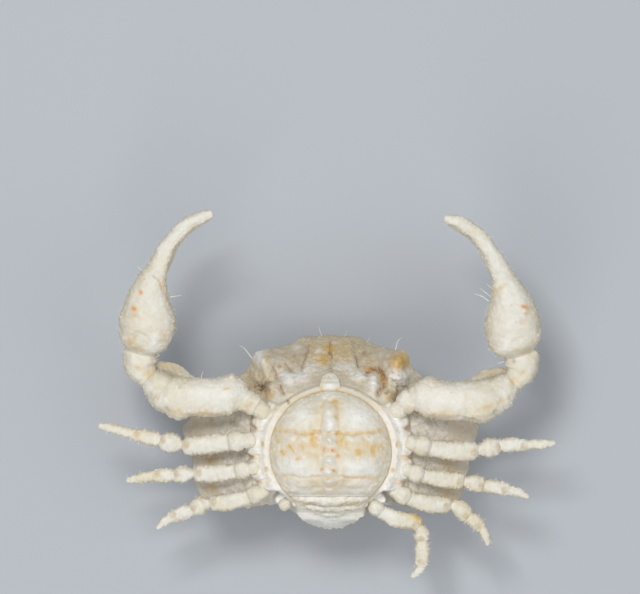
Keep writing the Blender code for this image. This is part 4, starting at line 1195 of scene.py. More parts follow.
    def telson(self, shop: Workshop) -> None:
        """Makes the telson: a rounded triangle at the front and a band behind it."""
        outline = (
            (0.93, 5.0), (0.95, 5.5), (0.88, 5.85), (0.82, 6.05), (0.6, 6.45), (0.25, 6.68), (-0.1, 6.74),
            (-0.45, 6.66), (-0.78, 6.4), (-0.95, 6.0), (-1.02, 5.8), (-1.08, 5.45), (-1.1, 5.0),
            (-0.1, 4.86), (0.93, 5.0),
        )
        loop = smooth_path(outline, 10)[:-1]
        centre = np.array([-0.05, 5.75])
        share = np.concatenate([[0.5, 0.97], 1.0 - np.linspace(0.0, 0.96, 34) ** 1.2])[:, None, None]
        plan = centre + (loop - centre)[None] * share
        x, y = plan[..., 0], plan[..., 1]
        dome = (1.0 - np.clip(share[..., 0], 0.0, 1.0) ** 3) ** 0.5
        base = mix(13.0, 12.3, smoothstep((y - 5.0) / 1.8))
        height = base + 0.2 * dome + 0.06 * smoothstep((5.85 - y) / 0.2)
        height = height - 0.05 * np.exp(-(((y - 5.9) / 0.12) ** 2))
        height[:2] = self.telson_underside
        found = stains_at(x, y, (
            *marks(Stain.OCHRE,
                (-0.85, 5.15, 0.25, 0.25, 0.6), (0.65, 5.2, 0.25, 0.2, 0.6),
                (-0.7, 6.25, 0.12, 0.5, 0.5, -20.0),
            ),
            Mark(Stain.GREY, 0.0, 6.25, 0.6, 0.35, 0.5),
            Mark(Stain.WHITE, -0.1, 5.5, 0.5, 0.25, 0.9),
            Stroke(Stain.GREY, ((-0.9, 5.9), (0.8, 5.9)), 0.08, 0.2),
        ))
        fields = shell_fields(np.full(x.shape, 0.15), np.full(x.shape, 0.4), found)
        mesh = domed_skin("telson_skin", x, y, height, centre, self.telson_underside, fields)
        shop.settle("telson", mesh, Relief(0.3, 0.03, 0.9, 0.05), ABDOMEN_SHELL)


# Everything that is swept along a middle line: limb pieces and the tail's rings
class End(Enum):
    """How a swept piece ends."""

    NECK = "neck"
    LIP = "lip"
    ROUND = "round"
    TIP = "tip"


@dataclass(frozen=True)
class Segment:
    """One shell piece drawn out along a smooth middle line of x, y, height and half width."""

    rows: tuple[Row, ...]
    start: End = End.NECK
    end: End = End.LIP
    two_balls: bool = False
    depth: float = 0.88
    lap: float = 0.16
    end_lap: float = 0.06
    neck: float = 0.8
    swell: float = 0.4
    lip: float = 0.03
    girth: float = 1.0
    square: float = 1.0
    sides: int = 56
    rings: int = 72
    granule: float = 0.25
    edge_granule: float = 0.85
    teeth: float = 0.0
    fuzz: float = 0.0
    condyle: float = 0.5
    condyle_back: float = 0.5
    forms: tuple[Form, ...] = ()
    stains: tuple[Field, ...] = ()

    def path(self) -> tuple[Array, Array]:
        """The middle line with its laps into the neighbours, and each point's place along it."""
        line = smooth_path(self.rows)
        first = line[0].copy()
        last = line[-1].copy()
        lead = (line[0, :3] - line[1, :3]) / np.linalg.norm(line[0, :3] - line[1, :3])
        trail = (line[-1, :3] - line[-2, :3]) / np.linalg.norm(line[-1, :3] - line[-2, :3])
        first[:3] += lead * self.lap
        last[:3] += trail * (0.0 if self.end is End.TIP else self.end_lap)
        line = np.vstack([first, line, last])
        return line, lengths_along(line[:, :3])

    def cap(self, far: Array, width: float, kind: End) -> Array:
        """The share of the full width at a distance from an end, where the piece closes."""
        depth = width * {End.NECK: 0.4, End.LIP: 0.8, End.ROUND: 0.95, End.TIP: 1.0}[kind]
        depth = max(depth, 0.05)
        return np.sqrt(np.clip(1.0 - (1.0 - np.clip(far / depth, 0.0, 1.0)) ** 2, 0.0, 1.0))

    def widths(self, far: Array, length: float, base: Array) -> Array:
        """The half width along the piece: neck, swelling, lip and closed ends."""
        if self.two_balls:
            first, second = 1.1 * base[0], 1.14 * base[-1]
            one = np.sqrt(np.clip(first**2 - (far - first) ** 2, 0.0, None))
            two = np.sqrt(np.clip(second**2 - (far - length + second) ** 2, 0.0, None))
            between = (far > first) & (far < length - second)
            waist = np.where(between, 0.86 * min(first, second), 0.0)
            return (one**6 + two**6 + waist**6) ** (1 / 6)
        shape = np.ones(far.shape)
        back = length - far
        if self.start is End.NECK:
            shape = shape * mix(self.neck, 1.0, smoothstep((far - 0.6 * self.lap) / (self.lap + self.swell)))
        if self.end is End.LIP:
            shape = shape * (1.0 + self.lip * np.exp(-(((back - 0.2) / 0.16) ** 2)))
            shape = shape * (1.0 - 0.8 * self.lip * np.exp(-(((back - 0.6) / 0.22) ** 2)))
        shape = shape * self.cap(far, base[0], self.start) * self.cap(back, base[-1], self.end)
        return base * shape

    def skin(self, name: str) -> Mesh:
        """The piece's closed mesh with its attributes."""
        line, along = self.path()
        length = along[-1]
        even = np.linspace(0.0, 1.0, self.rings + 2)[1:-1]
        levels = length * mix(even, 0.5 - 0.5 * np.cos(math.pi * even), 0.55)
        here = np.stack([np.interp(levels, along, line[:, k]) for k in range(4)], -1)
        step = 0.15
        ahead = np.stack([np.interp(levels + step, along, line[:, k]) for k in range(3)], -1)
        behind = np.stack([np.interp(levels - step, along, line[:, k]) for k in range(3)], -1)
        forward = ahead - behind
        forward /= np.linalg.norm(forward, axis=1)[:, None]
        across = np.cross(forward, (0.0, 0.0, 1.0))
        across /= np.linalg.norm(across, axis=1)[:, None]
        upward = np.cross(across, forward)
        width = self.girth * self.widths(levels, length, here[:, 3])
        turn = 2 * math.pi * np.arange(self.sides) / self.sides
        sideways = np.sign(np.cos(turn)) * np.abs(np.cos(turn)) ** self.square
        upwards = np.sign(np.sin(turn)) * np.abs(np.sin(turn)) ** self.square
        outward = across[:, None] * sideways[None, :, None]
        outward = outward + upward[:, None] * (self.depth * upwards)[None, :, None]
        points = here[:, None, :3] + outward * width[:, None, None]
        x, y = points[..., 0], points[..., 1]
        closing = np.minimum(1.0, width / np.maximum(here[:, 3], 0.05))[:, None]
        saw = np.abs(np.sin(math.pi * levels / 0.42 + 1.5 * np.sin(1.3 * levels)))[:, None]
        saw = self.teeth * saw * (np.abs(np.cos(turn)) ** 3)[None, :]
        points = points + outward * ((rise_at(x, y, self.forms) + saw) * closing)[..., None]
        start, end = line[0, :3], line[-1, :3]
        return closed_skin(name, points, start, end, self.fields(points, levels, width, turn))

    def fields(self, points: Array, levels: Array, width: Array, turn: Array) -> dict[str, Array]:
        """Granules, waves, fuzz, stains and painted shade on the underside for every point of the skin."""
        x, y = points[..., 0], points[..., 1]
        length = self.path()[1][-1]
        up = np.clip(np.sin(turn), 0.0, 1.0)[None, :] + 0.0 * x
        side = np.cos(turn)[None, :] ** 2 + 0.0 * x
        under = np.clip(-np.sin(turn), 0.0, 1.0)[None, :] + 0.0 * x
        found = stains_at(x, y, self.stains, smoothstep((up + 0.15) / 0.3))
        back = (length - levels)[:, None]
        front = levels[:, None]
        off_middle = width[:, None] * np.cos(turn)[None, :] - 0.12
        from_spot = np.hypot(back - self.end_lap - self.condyle_back, off_middle)
        spot = smoothstep((0.46 - from_spot) / 0.3) * smoothstep(up / 0.3)
        seam = np.exp(-((front / 0.35) ** 2)) * 0.12 + np.exp(-((back / 0.12) ** 2)) * 0.12
        ochre = np.maximum(found[Stain.OCHRE], 0.6 * self.condyle * spot)
        ochre = np.maximum(ochre, seam + 0.1 * side)
        # Painted shade: the underside is tinted ochre and grey
        found[Stain.OCHRE] = np.clip(np.maximum(ochre, 0.25 * under), 0.0, 1.0)
        deepen(found, Stain.GREY, np.maximum(0.25 * under, 0.7 * self.condyle * spot))
        inner = np.clip(np.minimum(front, back) / 0.3, 0.0, 1.0)
        granule = np.maximum(self.granule, self.edge_granule * side) * inner
        granule = np.maximum(granule, 0.8 * self.edge_granule * under * inner)
        found = {stain: value + 0.0 * x for stain, value in found.items()}
        fuzz = {"fuzz": self.fuzz * side * side * inner}
        return shell_fields(granule, 0.8 * inner + 0.0 * x, found) | fuzz


@dataclass
class Tail:
    """The narrow rings behind the abdomen's plate, thicker at the middle."""

    slot: str = "abdomen"
    rings: tuple[Row, ...] = (
        (-5.88, 13.02, 3.75, 0.45), (-6.64, 12.2, 3.7, 0.36), (-7.2, 11.3, 2.5, 0.34),
    )

    def ring(self, y: float, height: float, half_length: float, radius: float) -> Segment:
        """One ring, bowed a little to the rear."""
        share = (-1.0, -0.62, -0.36, -0.22, 0.0, 0.2, 0.34, 0.62, 1.0)
        rows = []
        for s in share:
            bow = 0.35 * abs(s) ** 2.2
            swell = 1.06 + 0.34 * math.exp(-((s / 0.3) ** 4))
            width = radius * swell * (1 - 0.18 * s * s)
            rows.append((s * half_length, y + bow, height - 0.5 * abs(s) ** 2.4, width))
        stains = (
            Mark(Stain.WHITE, 0.0, y, 3.5, 0.5, 0.6),
            *marks(Stain.OCHRE,
                (1.6, y - 0.3, 0.7, 0.12, 0.4), (-1.9, y - 0.3, 0.7, 0.12, 0.4),
            ),
        )
        knots = tuple(Lump(at, y + 0.1, 0.3, 0.4, 0.09) for at in (-3.1, -2.2, -1.4, 0.0, 1.3, 2.2, 3.0))
        return Segment(tuple(rows), End.ROUND, End.ROUND, depth=0.9, sides=40, rings=140, granule=0.9,
                       edge_granule=1.0, condyle=0.0, stains=stains, forms=knots)

    def build(self, shop: Workshop) -> None:
        """Makes the rings."""
        for number, ring in enumerate(self.rings, 1):
            name = f"tail_segment_{number}"
            mesh = self.ring(*ring).skin(name + "_skin")
            shop.settle(name, mesh, Relief(0.36, 0.09, 0.8, 0.16), ABDOMEN_SHELL)


@dataclass
class Mouth:
    """The two outer mouth plates, which meet at the middle of the front face."""

    carapace: Carapace
    slot: str = "mouth_plates"
    rise: float = 0.34
    outline: tuple[Row, ...] = (
        (0.14, 9.8), (0.5, 10.0), (1.3, 10.0), (1.95, 9.85), (2.25, 9.3), (2.38, 8.5), (2.55, 7.7),
        (2.75, 7.1), (2.6, 6.7), (2.2, 6.55), (1.75, 6.62), (1.2, 6.9), (0.5, 7.05), (0.16, 7.25),
        (0.12, 8.4), (0.14, 9.8),
    )

    def plate(self, side: int) -> Mesh:
        """One plate. side is 1 on the crab's left and -1 on its right."""
        loop = smooth_path(self.outline, 12)[:-1] * (side, 1.0)
        centre = np.array([side * 1.35, 8.35])
        share = np.concatenate([[0.5, 0.96], 1.0 - np.linspace(0.0, 0.96, 40) ** 1.25])[:, None, None]
        plan = centre + (loop - centre)[None] * share
        x, y = plan[..., 0], plan[..., 1]
        face = self.carapace.belly_height(x, y)
        dome = (1.0 - np.clip(share[..., 0], 0.0, 1.0) ** 3) ** 0.6
        ridge = 0.1 * bump(abs(x), y, (0.9, 8.6), (0.35, 1.2))
        ridge = ridge - 0.08 * bump(abs(x), y, (1.75, 8.2), (0.12, 1.6))
        height = face + self.rise * (0.1 + 0.9 * dome) + ridge
        height[:2] = face[:2] - 0.25
        forms = (
            Groove(((side * 0.2, 8.1), (side * 1.3, 7.9), (side * 2.3, 8.0)), 0.14, 0.12),
            Groove(((side * 1.7, 9.9), (side * 1.85, 8.8), (side * 2.05, 7.4)), 0.1, 0.14),
        )
        height = height + rise_at(x, y, forms) * dome
        found = stains_at(x, y, self.carapace.belly_stains)
        fields = shell_fields(np.full(x.shape, 0.7), np.full(x.shape, 1.4), found)
        return domed_skin(f"mouth_skin_{side}", x, y, height, centre, float(height[0].mean()), fields)

    def build(self, shop: Workshop) -> None:
        """Makes both plates."""
        look = ShellFinish("stained_mouth_shell", ivory="#D9D3C4", cream="#CFC09A", cool="#C9C6BD",
                           cream_share=0.7, roughness=0.6)
        for name, side in (("left_mouth_plate", 1), ("right_mouth_plate", -1)):
            shop.settle(name, self.plate(side), Relief(0.42, 0.11, 0.8, 0.14), look)


class Limb:
    """What claws and legs share: every piece is swept, raised and put in the frame."""

    name: str
    slot: str
    FINISH = LEG_SHELL
    RELIEF = Relief(0.36, 0.13, 0.75, 0.15)

    def build(self, shop: Workshop) -> list[Object]:
        """Makes every piece."""
        made = []
        for key, segments in self.segments().items():
            node = f"{self.name}_{key}"
            skins = [segment.skin(f"{node}_skin_{i}") for i, segment in enumerate(segments)]
            mesh = joined(node + "_skin", skins)
            made.append(shop.settle(node, mesh, self.RELIEF, self.FINISH))
        return made


@dataclass
class Claw(Limb):
    """A claw-bearing limb: hip, base, arm, wrist, hand with its fixed finger, and the movable finger.

    Known fault: the movable finger's root ends 0.2 to 0.3 mm short of the hand and doesn't join it.
    """

    FINISH = CLAW_SHELL
    RELIEF = Relief(0.42, 0.13, 1.1, 0.16)

    name: str
    rows: dict[str, tuple[Row, ...]]
    crest: tuple[Row, ...]
    arm_forms: tuple[Form, ...]
    hand_forms: tuple[Form, ...]
    stains: tuple[Field, ...]
    slot: str = "claws"

    def segments(self) -> dict[str, list[Segment]]:
        """The swept skins of every piece, with the arm's crest along its front edge."""
        rows, stains = self.rows, self.stains
        short_base = dict(start=End.ROUND, end=End.ROUND, depth=0.85, square=0.85, condyle=0.0, granule=0.5,
                          edge_granule=0.8, stains=stains)
        crest = Segment(self.crest, End.ROUND, End.ROUND, depth=0.9, sides=32, rings=60, condyle=0.0,
                        stains=stains, granule=0.5)
        arm = Segment(rows["arm"], lap=0.45, end_lap=0.3, neck=1.0, square=0.85, sides=150, rings=210,
                      fuzz=0.06, teeth=0.05, edge_granule=0.8, granule=0.4, condyle=0.25,
                      forms=self.arm_forms, stains=stains)
        wrist = Segment(rows["wrist"], lap=0.6, end_lap=0.8, neck=0.95, square=0.9, girth=1.08, lip=0.0,
                        sides=110, rings=100, fuzz=0.3, teeth=0.05, granule=0.25, edge_granule=0.7,
                        condyle=0.0, stains=stains)
        hand = Segment(rows["hand"], End.ROUND, End.TIP, lap=0.8, square=0.92, sides=150, rings=260,
                       fuzz=0.25, teeth=0.05, granule=0.32, edge_granule=0.8, condyle=0.0,
                       forms=self.hand_forms, stains=stains)
        finger = Segment(rows["finger"], End.ROUND, End.TIP, sides=64, rings=150, fuzz=0.1, granule=0.16,
                         edge_granule=0.4, condyle=0.0, stains=stains)
        return {
            "hip": [Segment(rows["hip"], lap=0.35, end_lap=0.3, girth=1.22, **short_base)],
            "arm_base": [Segment(rows["arm_base"], lap=0.3, end_lap=0.6, girth=1.25, **short_base)],
            "arm": [arm, crest],
            "wrist": [wrist],
            "hand": [hand],
            "finger": [finger],
        }


@dataclass
class Leg(Limb):
    """A walking leg: a hip of two balls, thigh, knee, shin and pointed toe."""

    name: str
    rows: tuple[tuple[Row, ...], ...]
    slot: str = "legs"
    knob: tuple[Form, ...] = ()
    stains: tuple[Field, ...] = ()

    def segments(self) -> dict[str, list[Segment]]:
        """The swept skin of every piece."""
        rows = dict(zip(LEG_PIECES, self.rows))
        hip = Segment(rows["hip"], End.ROUND, End.ROUND, two_balls=True, end_lap=0.3, depth=0.85,
                      square=0.85, granule=0.35, edge_granule=0.6, condyle=0.0, rings=90)
        thigh = Segment(rows["thigh"], lap=0.25, end_lap=0.2, girth=0.88, neck=1.0, lip=0.0, square=0.74,
                        rings=130, fuzz=0.1, teeth=0.06, forms=self.knob, stains=self.stains)
        knee = Segment(rows["knee"], lap=0.45, end_lap=0.35, girth=0.94, neck=0.5, swell=0.9, lip=0.0,
                       square=0.85, fuzz=0.35, rings=80, teeth=0.06, condyle_back=0.15, stains=self.stains)
        shin = Segment(rows["shin"], lap=0.35, end_lap=0.2, girth=0.9, neck=0.8, swell=0.5, lip=0.0,
                       square=0.85, fuzz=0.5, rings=90, teeth=0.08)
        toe = Segment(rows["toe"], End.NECK, End.TIP, lap=0.5, neck=1.0, square=0.9, fuzz=0.4, teeth=0.05,
                      rings=80, condyle=0.0)
        return {key: [segment] for key, segment in zip(LEG_PIECES, (hip, thigh, knee, shin, toe))}


# The middle lines of the limbs: x, y, height, half width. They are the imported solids' own, apart
# from the thigh and the first two places of the knee of left_leg_4, which sit a little elsewhere.
RIGHT_CLAW_ROWS = {
    "hip": ((-6.3, 2.6, 12.3, 0.68), (-7.3, 3.25, 12.3, 0.78)),
    "arm_base": ((-7.3, 3.25, 12.3, 0.8), (-8.55, 4.1, 12.2, 0.98)),
    "arm": (
        (-8.6, 4.2, 12.1, 1.2), (-9.9, 4.5, 12.1, 1.9), (-12.0, 4.3, 12.2, 1.9), (-14.0, 4.3, 12.2, 1.95),
        (-15.1, 4.3, 12.2, 2.1), (-16.4, 4.75, 12.0, 1.85), (-17.4, 5.55, 11.9, 1.45),
        (-18.2, 6.25, 11.8, 1.0),
    ),
    "wrist": (
        (-18.25, 6.3, 11.7, 1.0), (-18.9, 7.2, 11.7, 1.4), (-19.05, 8.3, 11.8, 1.5),
        (-19.0, 9.05, 11.9, 1.4),
    ),
    "hand": (
        (-18.95, 9.05, 12.1, 1.9), (-18.75, 9.8, 12.3, 2.35), (-18.3, 11.4, 12.7, 2.78),
        (-18.22, 12.5, 13.0, 2.7), (-18.15, 14.0, 13.5, 2.15), (-17.8, 15.7, 14.1, 1.55),
        (-17.2, 17.1, 14.7, 1.02), (-16.4, 19.0, 15.3, 0.74), (-15.5, 20.2, 15.5, 0.7),
        (-14.3, 21.4, 15.8, 0.7), (-12.9, 22.2, 15.9, 0.58), (-11.6, 22.6, 15.9, 0.3),
    ),
    "finger": (
        (-17.2, 16.3, 12.0, 0.6), (-16.5, 18.0, 12.95, 0.75), (-15.6, 19.8, 13.75, 0.68),
        (-14.2, 21.2, 14.2, 0.62), (-12.7, 22.0, 14.5, 0.5), (-11.8, 22.3, 14.6, 0.25),
    ),
}
LEFT_CLAW_ROWS = {
    "hip": ((6.3, 2.6, 12.3, 0.68), (7.05, 3.3, 12.3, 0.78)),
    "arm_base": ((7.05, 3.3, 12.3, 0.8), (8.05, 4.2, 12.2, 0.98)),
    "arm": (
        (8.1, 4.3, 12.1, 1.2), (9.6, 4.3, 12.1, 1.9), (12.0, 3.9, 12.2, 1.92), (14.0, 4.0, 12.2, 1.98),
        (15.1, 4.0, 12.2, 2.1), (16.4, 4.6, 12.0, 1.8), (17.4, 5.2, 11.9, 1.45), (18.3, 5.8, 11.8, 1.0),
    ),
    "wrist": (
        (18.35, 5.9, 11.7, 1.0), (19.0, 6.9, 11.7, 1.4), (19.1, 8.1, 11.8, 1.55),
        (19.0, 8.85, 11.9, 1.45),
    ),
    "hand": (
        (18.75, 8.85, 12.1, 2.0), (18.5, 9.7, 12.3, 2.55), (18.2, 11.0, 12.6, 2.75),
        (18.1, 12.2, 12.9, 2.65), (17.9, 13.8, 13.4, 2.1), (17.45, 15.4, 14.0, 1.45),
        (16.9, 16.8, 14.6, 0.98), (15.8, 18.9, 15.2, 0.78), (14.6, 20.4, 15.5, 0.7),
        (13.3, 21.4, 15.8, 0.64), (12.3, 21.9, 15.9, 0.5), (11.2, 22.1, 15.9, 0.28),
    ),
    "finger": (
        (16.8, 16.1, 12.0, 0.6), (16.1, 17.8, 12.95, 0.75), (15.1, 19.5, 13.75, 0.68),
        (13.8, 20.8, 14.2, 0.62), (12.4, 21.5, 14.5, 0.5), (11.5, 21.8, 14.6, 0.25),
    ),
}
LEG_PIECES = ("hip", "thigh", "knee", "shin", "toe")
LEG_ROWS = {
    "right_leg_1": (
        ((-7.45, 0.0, 12.2, 0.7), (-8.35, 0.0, 12.2, 0.68), (-10.1, -0.15, 11.7, 0.9)),
        ((-10.1, -0.2, 11.6, 0.85), (-12.3, -0.45, 11.1, 1.05), (-14.7, -0.6, 10.6, 1.0)),
        ((-14.7, -0.5, 10.6, 0.8), (-15.8, -0.3, 10.5, 1.02), (-16.9, -0.15, 10.4, 0.85)),
        ((-16.9, -0.05, 10.4, 0.68), (-18.4, 0.25, 10.4, 0.75), (-19.9, 0.58, 10.4, 0.55)),
        ((-19.9, 0.6, 10.4, 0.45), (-21.5, 1.05, 10.5, 0.45), (-23.25, 1.45, 10.6, 0.22)),
    ),
    "right_leg_2": (
        ((-7.1, -2.65, 12.2, 0.6), (-7.95, -2.85, 12.1, 0.55), (-9.4, -3.1, 11.6, 0.8)),
        ((-9.4, -3.1, 11.5, 0.75), (-11.5, -3.35, 11.0, 0.9), (-13.55, -3.4, 10.6, 0.85)),
        ((-13.55, -3.35, 10.6, 0.68), (-14.5, -3.4, 10.5, 0.85), (-15.5, -3.55, 10.4, 0.72)),
        ((-15.5, -3.55, 10.4, 0.62), (-16.7, -3.55, 10.4, 0.75), (-17.85, -3.6, 10.4, 0.58)),
        ((-17.85, -3.6, 10.4, 0.45), (-19.2, -3.85, 10.4, 0.42), (-20.5, -4.1, 10.4, 0.15)),
    ),
    "right_leg_3": (
        ((-6.25, -4.85, 12.0, 0.6), (-6.9, -5.15, 11.9, 0.58), (-8.1, -5.6, 11.6, 0.8)),
        ((-8.1, -5.65, 11.5, 0.75), (-10.1, -6.2, 11.1, 0.9), (-12.0, -6.35, 10.7, 0.82)),
        ((-12.0, -6.3, 10.7, 0.7), (-12.9, -6.5, 10.6, 0.92), (-13.75, -6.95, 10.5, 0.75)),
        ((-13.75, -7.0, 10.5, 0.62), (-15.0, -7.4, 10.4, 0.72), (-16.1, -7.85, 10.4, 0.55)),
        ((-16.1, -7.85, 10.4, 0.42), (-16.8, -8.35, 10.4, 0.36), (-17.4, -8.95, 10.4, 0.15)),
    ),
    "left_leg_1": (
        ((7.45, -0.15, 12.2, 0.7), (8.2, -0.3, 12.2, 0.68), (9.85, -0.7, 11.7, 0.9)),
        ((9.85, -0.8, 11.6, 0.85), (12.2, -1.05, 11.1, 1.05), (14.65, -1.1, 10.6, 1.0)),
        ((14.65, -1.05, 10.6, 0.8), (15.7, -0.85, 10.5, 1.0), (16.8, -0.6, 10.4, 0.82)),
        ((16.8, -0.55, 10.4, 0.66), (18.3, -0.5, 10.4, 0.74), (19.8, -0.5, 10.4, 0.55)),
        ((19.8, -0.5, 10.4, 0.43), (21.2, -0.4, 10.5, 0.42), (22.55, -0.3, 10.6, 0.18)),
    ),
    "left_leg_2": (
        ((7.0, -2.75, 12.2, 0.6), (7.7, -3.0, 12.1, 0.56), (9.1, -3.5, 11.6, 0.8)),
        ((9.1, -3.5, 11.5, 0.75), (11.2, -3.9, 11.0, 0.92), (13.25, -4.1, 10.6, 0.85)),
        ((13.25, -4.15, 10.6, 0.68), (14.3, -4.3, 10.5, 0.86), (15.25, -4.5, 10.4, 0.72)),
        ((15.25, -4.5, 10.4, 0.62), (16.6, -4.75, 10.4, 0.74), (17.9, -5.0, 10.4, 0.55)),
        ((17.9, -5.0, 10.4, 0.42), (18.9, -5.3, 10.4, 0.4), (19.9, -5.8, 10.4, 0.15)),
    ),
    "left_leg_3": (
        ((6.1, -4.75, 12.0, 0.6), (6.6, -5.15, 11.9, 0.58), (7.8, -5.8, 11.6, 0.8)),
        ((7.8, -5.85, 11.5, 0.75), (9.9, -6.35, 11.1, 0.98), (11.95, -6.5, 10.7, 0.85)),
        ((11.95, -6.5, 10.7, 0.7), (12.9, -6.85, 10.6, 0.88), (13.7, -7.6, 10.5, 0.72)),
        ((13.7, -7.6, 10.5, 0.62), (14.5, -8.2, 10.4, 0.74), (15.2, -8.9, 10.4, 0.55)),
        ((15.2, -8.9, 10.4, 0.42), (15.55, -9.7, 10.4, 0.38), (15.75, -10.6, 10.4, 0.15)),
    ),
    "left_leg_4": (
        ((4.2, -6.15, 11.3, 0.5), (4.45, -6.6, 11.2, 0.62), (4.95, -7.2, 11.0, 0.7)),
        ((4.95, -7.1, 10.9, 0.7), (6.6, -7.9, 10.9, 0.9), (8.2, -8.15, 10.75, 0.84), (8.8, -8.65, 10.7, 0.7)),
        ((8.85, -8.7, 10.7, 0.66), (9.1, -9.2, 10.6, 0.84), (9.15, -10.0, 10.5, 0.74)),
        ((9.15, -10.0, 10.5, 0.66), (9.2, -11.4, 10.5, 0.78), (9.1, -12.7, 10.5, 0.6)),
        ((9.05, -12.75, 10.5, 0.36), (8.6, -13.3, 10.5, 0.32), (8.1, -13.8, 10.5, 0.15)),
    ),
}
LEG_STUMP_ROWS = ((-4.35, -6.35, 11.3, 0.45), (-5.1, -6.65, 11.2, 0.55))
RIGHT_CREST = (
    (-18.0, 7.3, 10.9, 0.35), (-17.5, 7.35, 10.7, 0.5), (-16.4, 7.15, 10.5, 0.66),
    (-15.3, 6.75, 10.5, 0.68), (-14.4, 6.2, 10.7, 0.55), (-13.6, 5.8, 11.0, 0.4),
)
LEFT_CREST = (
    (18.0, 6.5, 10.9, 0.35), (17.3, 6.7, 10.7, 0.5), (16.4, 6.55, 10.5, 0.66), (15.4, 6.25, 10.5, 0.68),
    (14.5, 5.7, 10.7, 0.55), (13.7, 5.4, 11.0, 0.4),
)
RIGHT_ARM_FORMS = (
    *lumps(
        (-9.9, 6.3, 0.42, 0.35, 0.28), (-11.2, 6.2, 0.5, 0.4, -0.08), (-15.3, 2.2, 0.8, 0.5, 0.14),
        (-16.35, 3.0, 0.3, 0.35, -0.24), (-17.15, 3.7, 0.6, 0.45, 0.2, 40.0),
        (-18.0, 4.5, 0.3, 0.35, -0.12), (-13.4, 2.4, 0.5, 0.4, -0.1), (-16.9, 6.6, 0.9, 0.4, 0.15, -25.0),
        (-18.1, 6.4, 0.35, 0.35, 0.15),
        *((-10.2 - 0.62 * i, 2.95 - 0.02 * i, 0.22, 0.2, 0.12) for i in range(9)),
    ),
)
LEFT_ARM_FORMS = (
    *lumps(
        (9.95, 6.15, 0.42, 0.35, 0.28), (11.2, 5.9, 0.5, 0.4, -0.08), (15.1, 1.9, 0.8, 0.5, 0.12),
        (16.5, 2.75, 0.3, 0.35, -0.26), (17.7, 3.8, 0.55, 0.45, 0.22, -40.0), (13.4, 2.0, 0.5, 0.4, -0.1),
        (16.9, 6.2, 0.9, 0.4, 0.15, 20.0),
        *((10.2 + 0.6 * i, 2.75 - 0.03 * i, 0.22, 0.2, 0.12) for i in range(9)),
    ),
)
RIGHT_HAND_FORMS = (
    Lump(-19.15, 9.9, 0.6, 0.5, 0.14),
    Groove(((-20.1, 10.3), (-19.2, 10.75), (-18.2, 10.3), (-17.9, 9.6)), 0.2, 0.08),
    Groove(((-16.9, 17.3), (-15.9, 19.2), (-14.2, 21.0), (-12.6, 21.9)), 0.12, 0.03),
    Groove(((-17.4, 16.6), (-16.4, 18.8), (-14.9, 20.9), (-13.2, 22.0)), 0.12, 0.03),
    Lump(-17.0, 9.5, 0.5, 0.5, -0.1),
    Groove(((-17.6, 16.4), (-17.0, 15.9), (-16.5, 14.7), (-16.0, 13.95)), 0.14, 0.07),
)
LEFT_HAND_FORMS = (
    Lump(19.1, 9.4, 0.6, 0.5, 0.14),
    Groove(((20.0, 9.8), (19.1, 10.25), (18.1, 9.8), (17.8, 9.2)), 0.2, 0.08),
    Groove(((16.5, 17.1), (15.4, 19.1), (13.8, 20.6), (12.2, 21.5)), 0.12, 0.03),
    Groove(((17.0, 16.5), (15.9, 18.8), (14.5, 20.6), (12.9, 21.6)), 0.12, 0.03),
    Lump(16.7, 9.4, 0.5, 0.5, -0.1),
    Groove(((17.2, 15.9), (16.7, 15.3), (16.2, 14.5), (15.8, 13.8)), 0.14, 0.07),
)
RIGHT_CLAW_STAINS = (
    *marks(Stain.CORAL,
        (-18.86, 14.75, 0.24, 0.2, 0.95, 10.0), (-19.5, 13.15, 0.3, 0.22, 1.0),
    ),
    *marks(Stain.OCHRE,
        (-19.4, 12.5, 0.35, 0.25, 0.45), (-19.9, 9.9, 0.45, 0.6, 0.5), (-19.2, 9.2, 0.9, 0.3, 0.45),
        (-16.6, 10.4, 0.4, 0.7, 0.4, -30.0), (-18.05, 6.65, 0.4, 0.35, 0.75),
        (-19.2, 7.3, 0.4, 0.22, 0.55, -25.0), (-16.3, 7.4, 1.4, 0.3, 0.3, -12.0),
        # The mark at -12.4, 2.7 on the next line, a band along the arm's lower edge, is painted shade
        (-17.4, 4.3, 0.3, 0.25, 0.5), (-15.6, 2.9, 1.1, 0.45, 0.35, -15.0), (-12.4, 2.7, 1.8, 0.4, 0.35),
        (-10.4, 5.15, 0.35, 0.15, 0.6), (-14.6, 5.65, 0.16, 0.14, 0.5), (-8.3, 3.5, 0.6, 0.25, 0.5, 30.0),
    ),
    *marks(Stain.GREY,
        (-14.95, 5.25, 0.16, 0.16, 0.6), (-14.95, 2.95, 0.2, 0.2, 0.55),
        (-16.1, 7.0, 1.6, 0.6, 0.45, -15.0),
    ),
    *marks(Stain.WHITE,
        # The first mark on the next line is a painted highlight on the inner side of the hand's base
        (-17.5, 10.0, 0.4, 0.8, 0.8, 8.0), (-12.0, 4.6, 2.6, 0.9, 0.4),
    ),
    Stroke(Stain.GREY, ((-17.6, 16.4), (-17.0, 15.9)), 0.12, 0.5),
    Stroke(Stain.OCHRE, ((-17.0, 15.9), (-16.5, 14.7), (-16.0, 13.95)), 0.2, 0.4),
)
